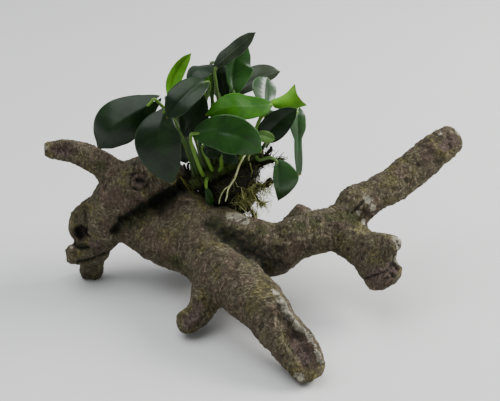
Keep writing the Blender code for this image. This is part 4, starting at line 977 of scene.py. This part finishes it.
def root_clump(wood_tree):
    core = bpy.data.objects.new("root_core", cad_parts["root_pad"].data.copy())
    core.data.materials.clear()
    bpy.context.scene.collection.objects.link(core)
    remesh = core.modifiers.new("Grain", "REMESH")
    remesh.mode = "VOXEL"
    remesh.voxel_size = 0.7 * MM
    settle(core)
    places, normals = vertex_array(core), vertex_array(core, "normal")
    rough = 0.6 * noise_at(places, 420.0, 2.0) + 0.36 * noise_at(places, 900.0, 4.0)
    slim = np.clip((places[:, 0] / MM + 6) / 8, 0, 1) * np.clip((94 - places[:, 2] / MM) / 12, 0, 1)
    core.data.vertices.foreach_set("co", (places + normals * ((rough - 3.4 * slim) * MM)[:, None]).ravel())
    core.data.update()
    tree = BVHTree.FromObject(core, bpy.context.evaluated_depsgraph_get())
    mesh = bmesh.new()
    mesh.from_mesh(core.data)
    tones = mesh.verts.layers.float.new("tone")
    for vertex in mesh.verts:
        vertex[tones] = 0.08 + 0.10 * noise.noise(vertex.co * 300)
    middle = sketch(-16, 0, 0).x
    for n in range(CREEPING_FIBRES):
        i = int(DICE.integers(len(places)))
        start = Vector(places[i]) + Vector(normals[i]) * 0.2 * MM
        right = np.clip((start.x - middle) / 0.03, 0, 1)
        low = np.clip((0.072 - start.z) / 0.012, 0, 1)
        tone = float(np.clip(0.20 + 0.17 * DICE.normal() + 0.35 * right * low, 0.02, 0.95))
        points = wander(tree, start, Vector(DICE.normal(size=3)), float(DICE.uniform(6, 18)), 0.45, 2.6, 0.05, n * 1.7)
        thread(mesh, points, float(DICE.uniform(0.12, 0.34)), tone)
    stem = [p for p in smooth_path(RHIZOME, 0.5)]
    for n in range(STEM_FIBRES):
        station = stem[int(DICE.integers(len(stem)))]
        out = Vector(DICE.normal(size=3)).normalized()
        start = sketch(*(Vector(station[:3]) + out * station[3] * 0.9))
        tone = float(np.clip(0.16 + 0.14 * DICE.normal(), 0.02, 0.7))
        points = wander(tree, start, out + Vector((0, -0.3, 0.2)), float(DICE.uniform(4, 9)), 0.25, 3.0, 0.10, n * 2.3)
        thread(mesh, points, float(DICE.uniform(0.12, 0.30)), tone)
    for n in range(HANGING_FIBRES):
        start = sketch(float(DICE.uniform(-12, 15)), float(DICE.uniform(2, 12)), float(DICE.uniform(62, 82)))
        spot, normal, _, _ = tree.find_nearest(start)
        points = wander(tree, spot, normal + Vector((0.3, -0.3, 0.0)), float(DICE.uniform(7, 19)), 0.12, 2.2, 0.20,
                        n * 3.1)
        thread(mesh, points, float(DICE.uniform(0.14, 0.36)), float(np.clip(0.80 + 0.16 * DICE.normal(), 0.3, 1.0)))
    for pixels, radius, tone in SHOWN_ROOTS:
        if len(pixels[0]) == 3:
            marks = [at_depth(*p) for p in pixels]
        else:
            marks = [Vector(cast(wood_tree, p)) * MM + Vector((0, -0.4, 0.3)) * MM for p in pixels]
        points = smooth_path([p / MM for p in marks], 1.0)
        points = [(p + 0.5 * Vector(noise.noise_vector(p * 0.4))) * MM for p in points]
        thread(mesh, points, radius, tone, 0.5)
    bpy.data.objects.remove(core)
    made = object_from(mesh, "root_clump")
    smooth(made)
    made.data.materials.append(root_material())
    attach(made, "root")
    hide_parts("root_pad")
    return made


CREEPING_FIBRES = 1700
STEM_FIBRES = 260
HANGING_FIBRES = 240


def stem_material():
    stem = Shader("creeping_stem")
    base = stem.ramp(stem.noise(240.0, 4.0, 0.6), [(0.35, (0.014, 0.018, 0.004)), (0.65, (0.050, 0.090, 0.012))])
    ring = stem.ramp(stem.sum("SINE", stem.sum("MULTIPLY", stem.attribute("along"), 520.0)), [(0.55, 0.0), (0.9, 0.7)])
    base = stem.mix(ring, base, (0.030, 0.022, 0.010))
    return stem.finish(Base_Color=base, Roughness=0.7, Specular_IOR_Level=0.2,
                       Normal=stem.bump(stem.noise(500.0), 0.6, 0.0006))


def rhizome_piece():
    stations = []
    for k, place in enumerate(smooth_path(RHIZOME, 0.9)):
        knob = 1 + 0.10 * math.sin(k * 1.15) + 0.06 * math.sin(k * 2.7)
        stations.append((*place[:3], place[3] * knob))
    mesh = bmesh.new()
    add_loft(mesh, round_rings(stations, 20), {"along": lambda i, k: i / len(stations)})
    bmesh.ops.recalc_face_normals(mesh, faces=mesh.faces)
    made = object_from(mesh, "creeping_stem")
    smooth(made)
    made.data.materials.append(stem_material())
    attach(made, "root")
    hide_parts("rhizome")


def pale_root_piece():
    mesh = bmesh.new()
    path = smooth_path(PALE_ROOT, 1.5)
    stations = [(*(Vector(p[:3]) + Vector(noise.noise_vector(Vector(p[:3]) * 0.18)) * 0.9), p[3] * 0.6) for p in path]
    add_loft(mesh, round_rings(stations, 8), {"tone": lambda i, k: 1.0})
    fork = [(*p[:3], 0.4) for p in smooth_path([(-14, -14, 90, 1), (-18, -13, 86, 1), (-21, -10, 78, 1), (-22, -8, 72, 1)], 1.5)]
    add_loft(mesh, round_rings(fork, 6), {"tone": lambda i, k: 1.0})
    bmesh.ops.recalc_face_normals(mesh, faces=mesh.faces)
    made = object_from(mesh, "pale_free_root")
    smooth(made)
    skin = Shader("pale_root_skin")
    base = skin.ramp(skin.noise(300.0), [(0.35, (0.34, 0.38, 0.12)), (0.6, (0.62, 0.62, 0.34))])
    made.data.materials.append(skin.finish(Base_Color=base, Roughness=0.5,
                                           Normal=skin.bump(skin.noise(900.0), 0.3, 0.0002)))
    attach(made, "root")
    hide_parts("pale_root")


# The camera, the light and the floor

def aim(thing, target):
    thing.rotation_euler = (target - thing.location).to_track_quat("-Z", "Y").to_euler()


def area_light(name, place, size, power, colour):
    lamp = bpy.data.lights.new(name, "AREA")
    lamp.shape = "RECTANGLE"
    lamp.size, lamp.size_y = size
    lamp.energy = power
    lamp.color = colour
    made = bpy.data.objects.new(name, lamp)
    bpy.context.scene.collection.objects.link(made)
    made.location = place
    aim(made, LOOK_AT)


def studio():
    camera = bpy.data.objects.new("camera", bpy.data.cameras.new("camera"))
    bpy.context.scene.collection.objects.link(camera)
    camera.location = EYE
    aim(camera, LOOK_AT)
    camera.data.lens = LENS
    camera.data.sensor_width = SENSOR
    bpy.context.scene.camera = camera

    floor_mesh = bmesh.new()
    bmesh.ops.create_grid(floor_mesh, x_segments=8, y_segments=8, size=3.0)
    floor = object_from(floor_mesh, "floor")
    paper = Shader("paper")
    floor.data.materials.append(paper.finish(
        Base_Color=paper.ramp(paper.noise(2.0), [(0.3, (0.70, 0.70, 0.69)), (0.7, (0.73, 0.73, 0.72))]),
        Roughness=0.6, Specular_IOR_Level=0.3))

    area_light("window", (1.12, 0.30, 0.88), (0.75, 0.75), 30.0, (1.0, 0.99, 0.97))
    area_light("ceiling", (-0.35, 0.0, 1.4), (1.4, 1.4), 20.0, (0.97, 0.99, 1.0))
    world = bpy.data.worlds.new("room_light")
    world.use_nodes = True
    room = world.node_tree
    look = room.nodes.new("ShaderNodeTexCoord")
    parts = room.nodes.new("ShaderNodeSeparateXYZ")
    share = room.nodes.new("ShaderNodeMapRange")
    share.inputs["From Min"].default_value = -1.0
    share.inputs["To Min"].default_value = 0.22
    share.inputs["To Max"].default_value = 0.72
    room.links.new(look.outputs["Generated"], parts.inputs[0])
    room.links.new(parts.outputs["Y"], share.inputs["Value"])
    room.links.new(share.outputs[0], room.nodes["Background"].inputs["Strength"])
    room.nodes["Background"].inputs["Color"].default_value = (0.80, 0.83, 0.86, 1)
    bpy.context.scene.world = world


def main():
    studio()
    wood_tree = driftwood()
    for seed, (name, shape) in enumerate(LEAVES.items()):
        leaf_piece(name, shape, seed + 1)
    rhizome_piece()
    root_clump(wood_tree)
    pale_root_piece()


main()
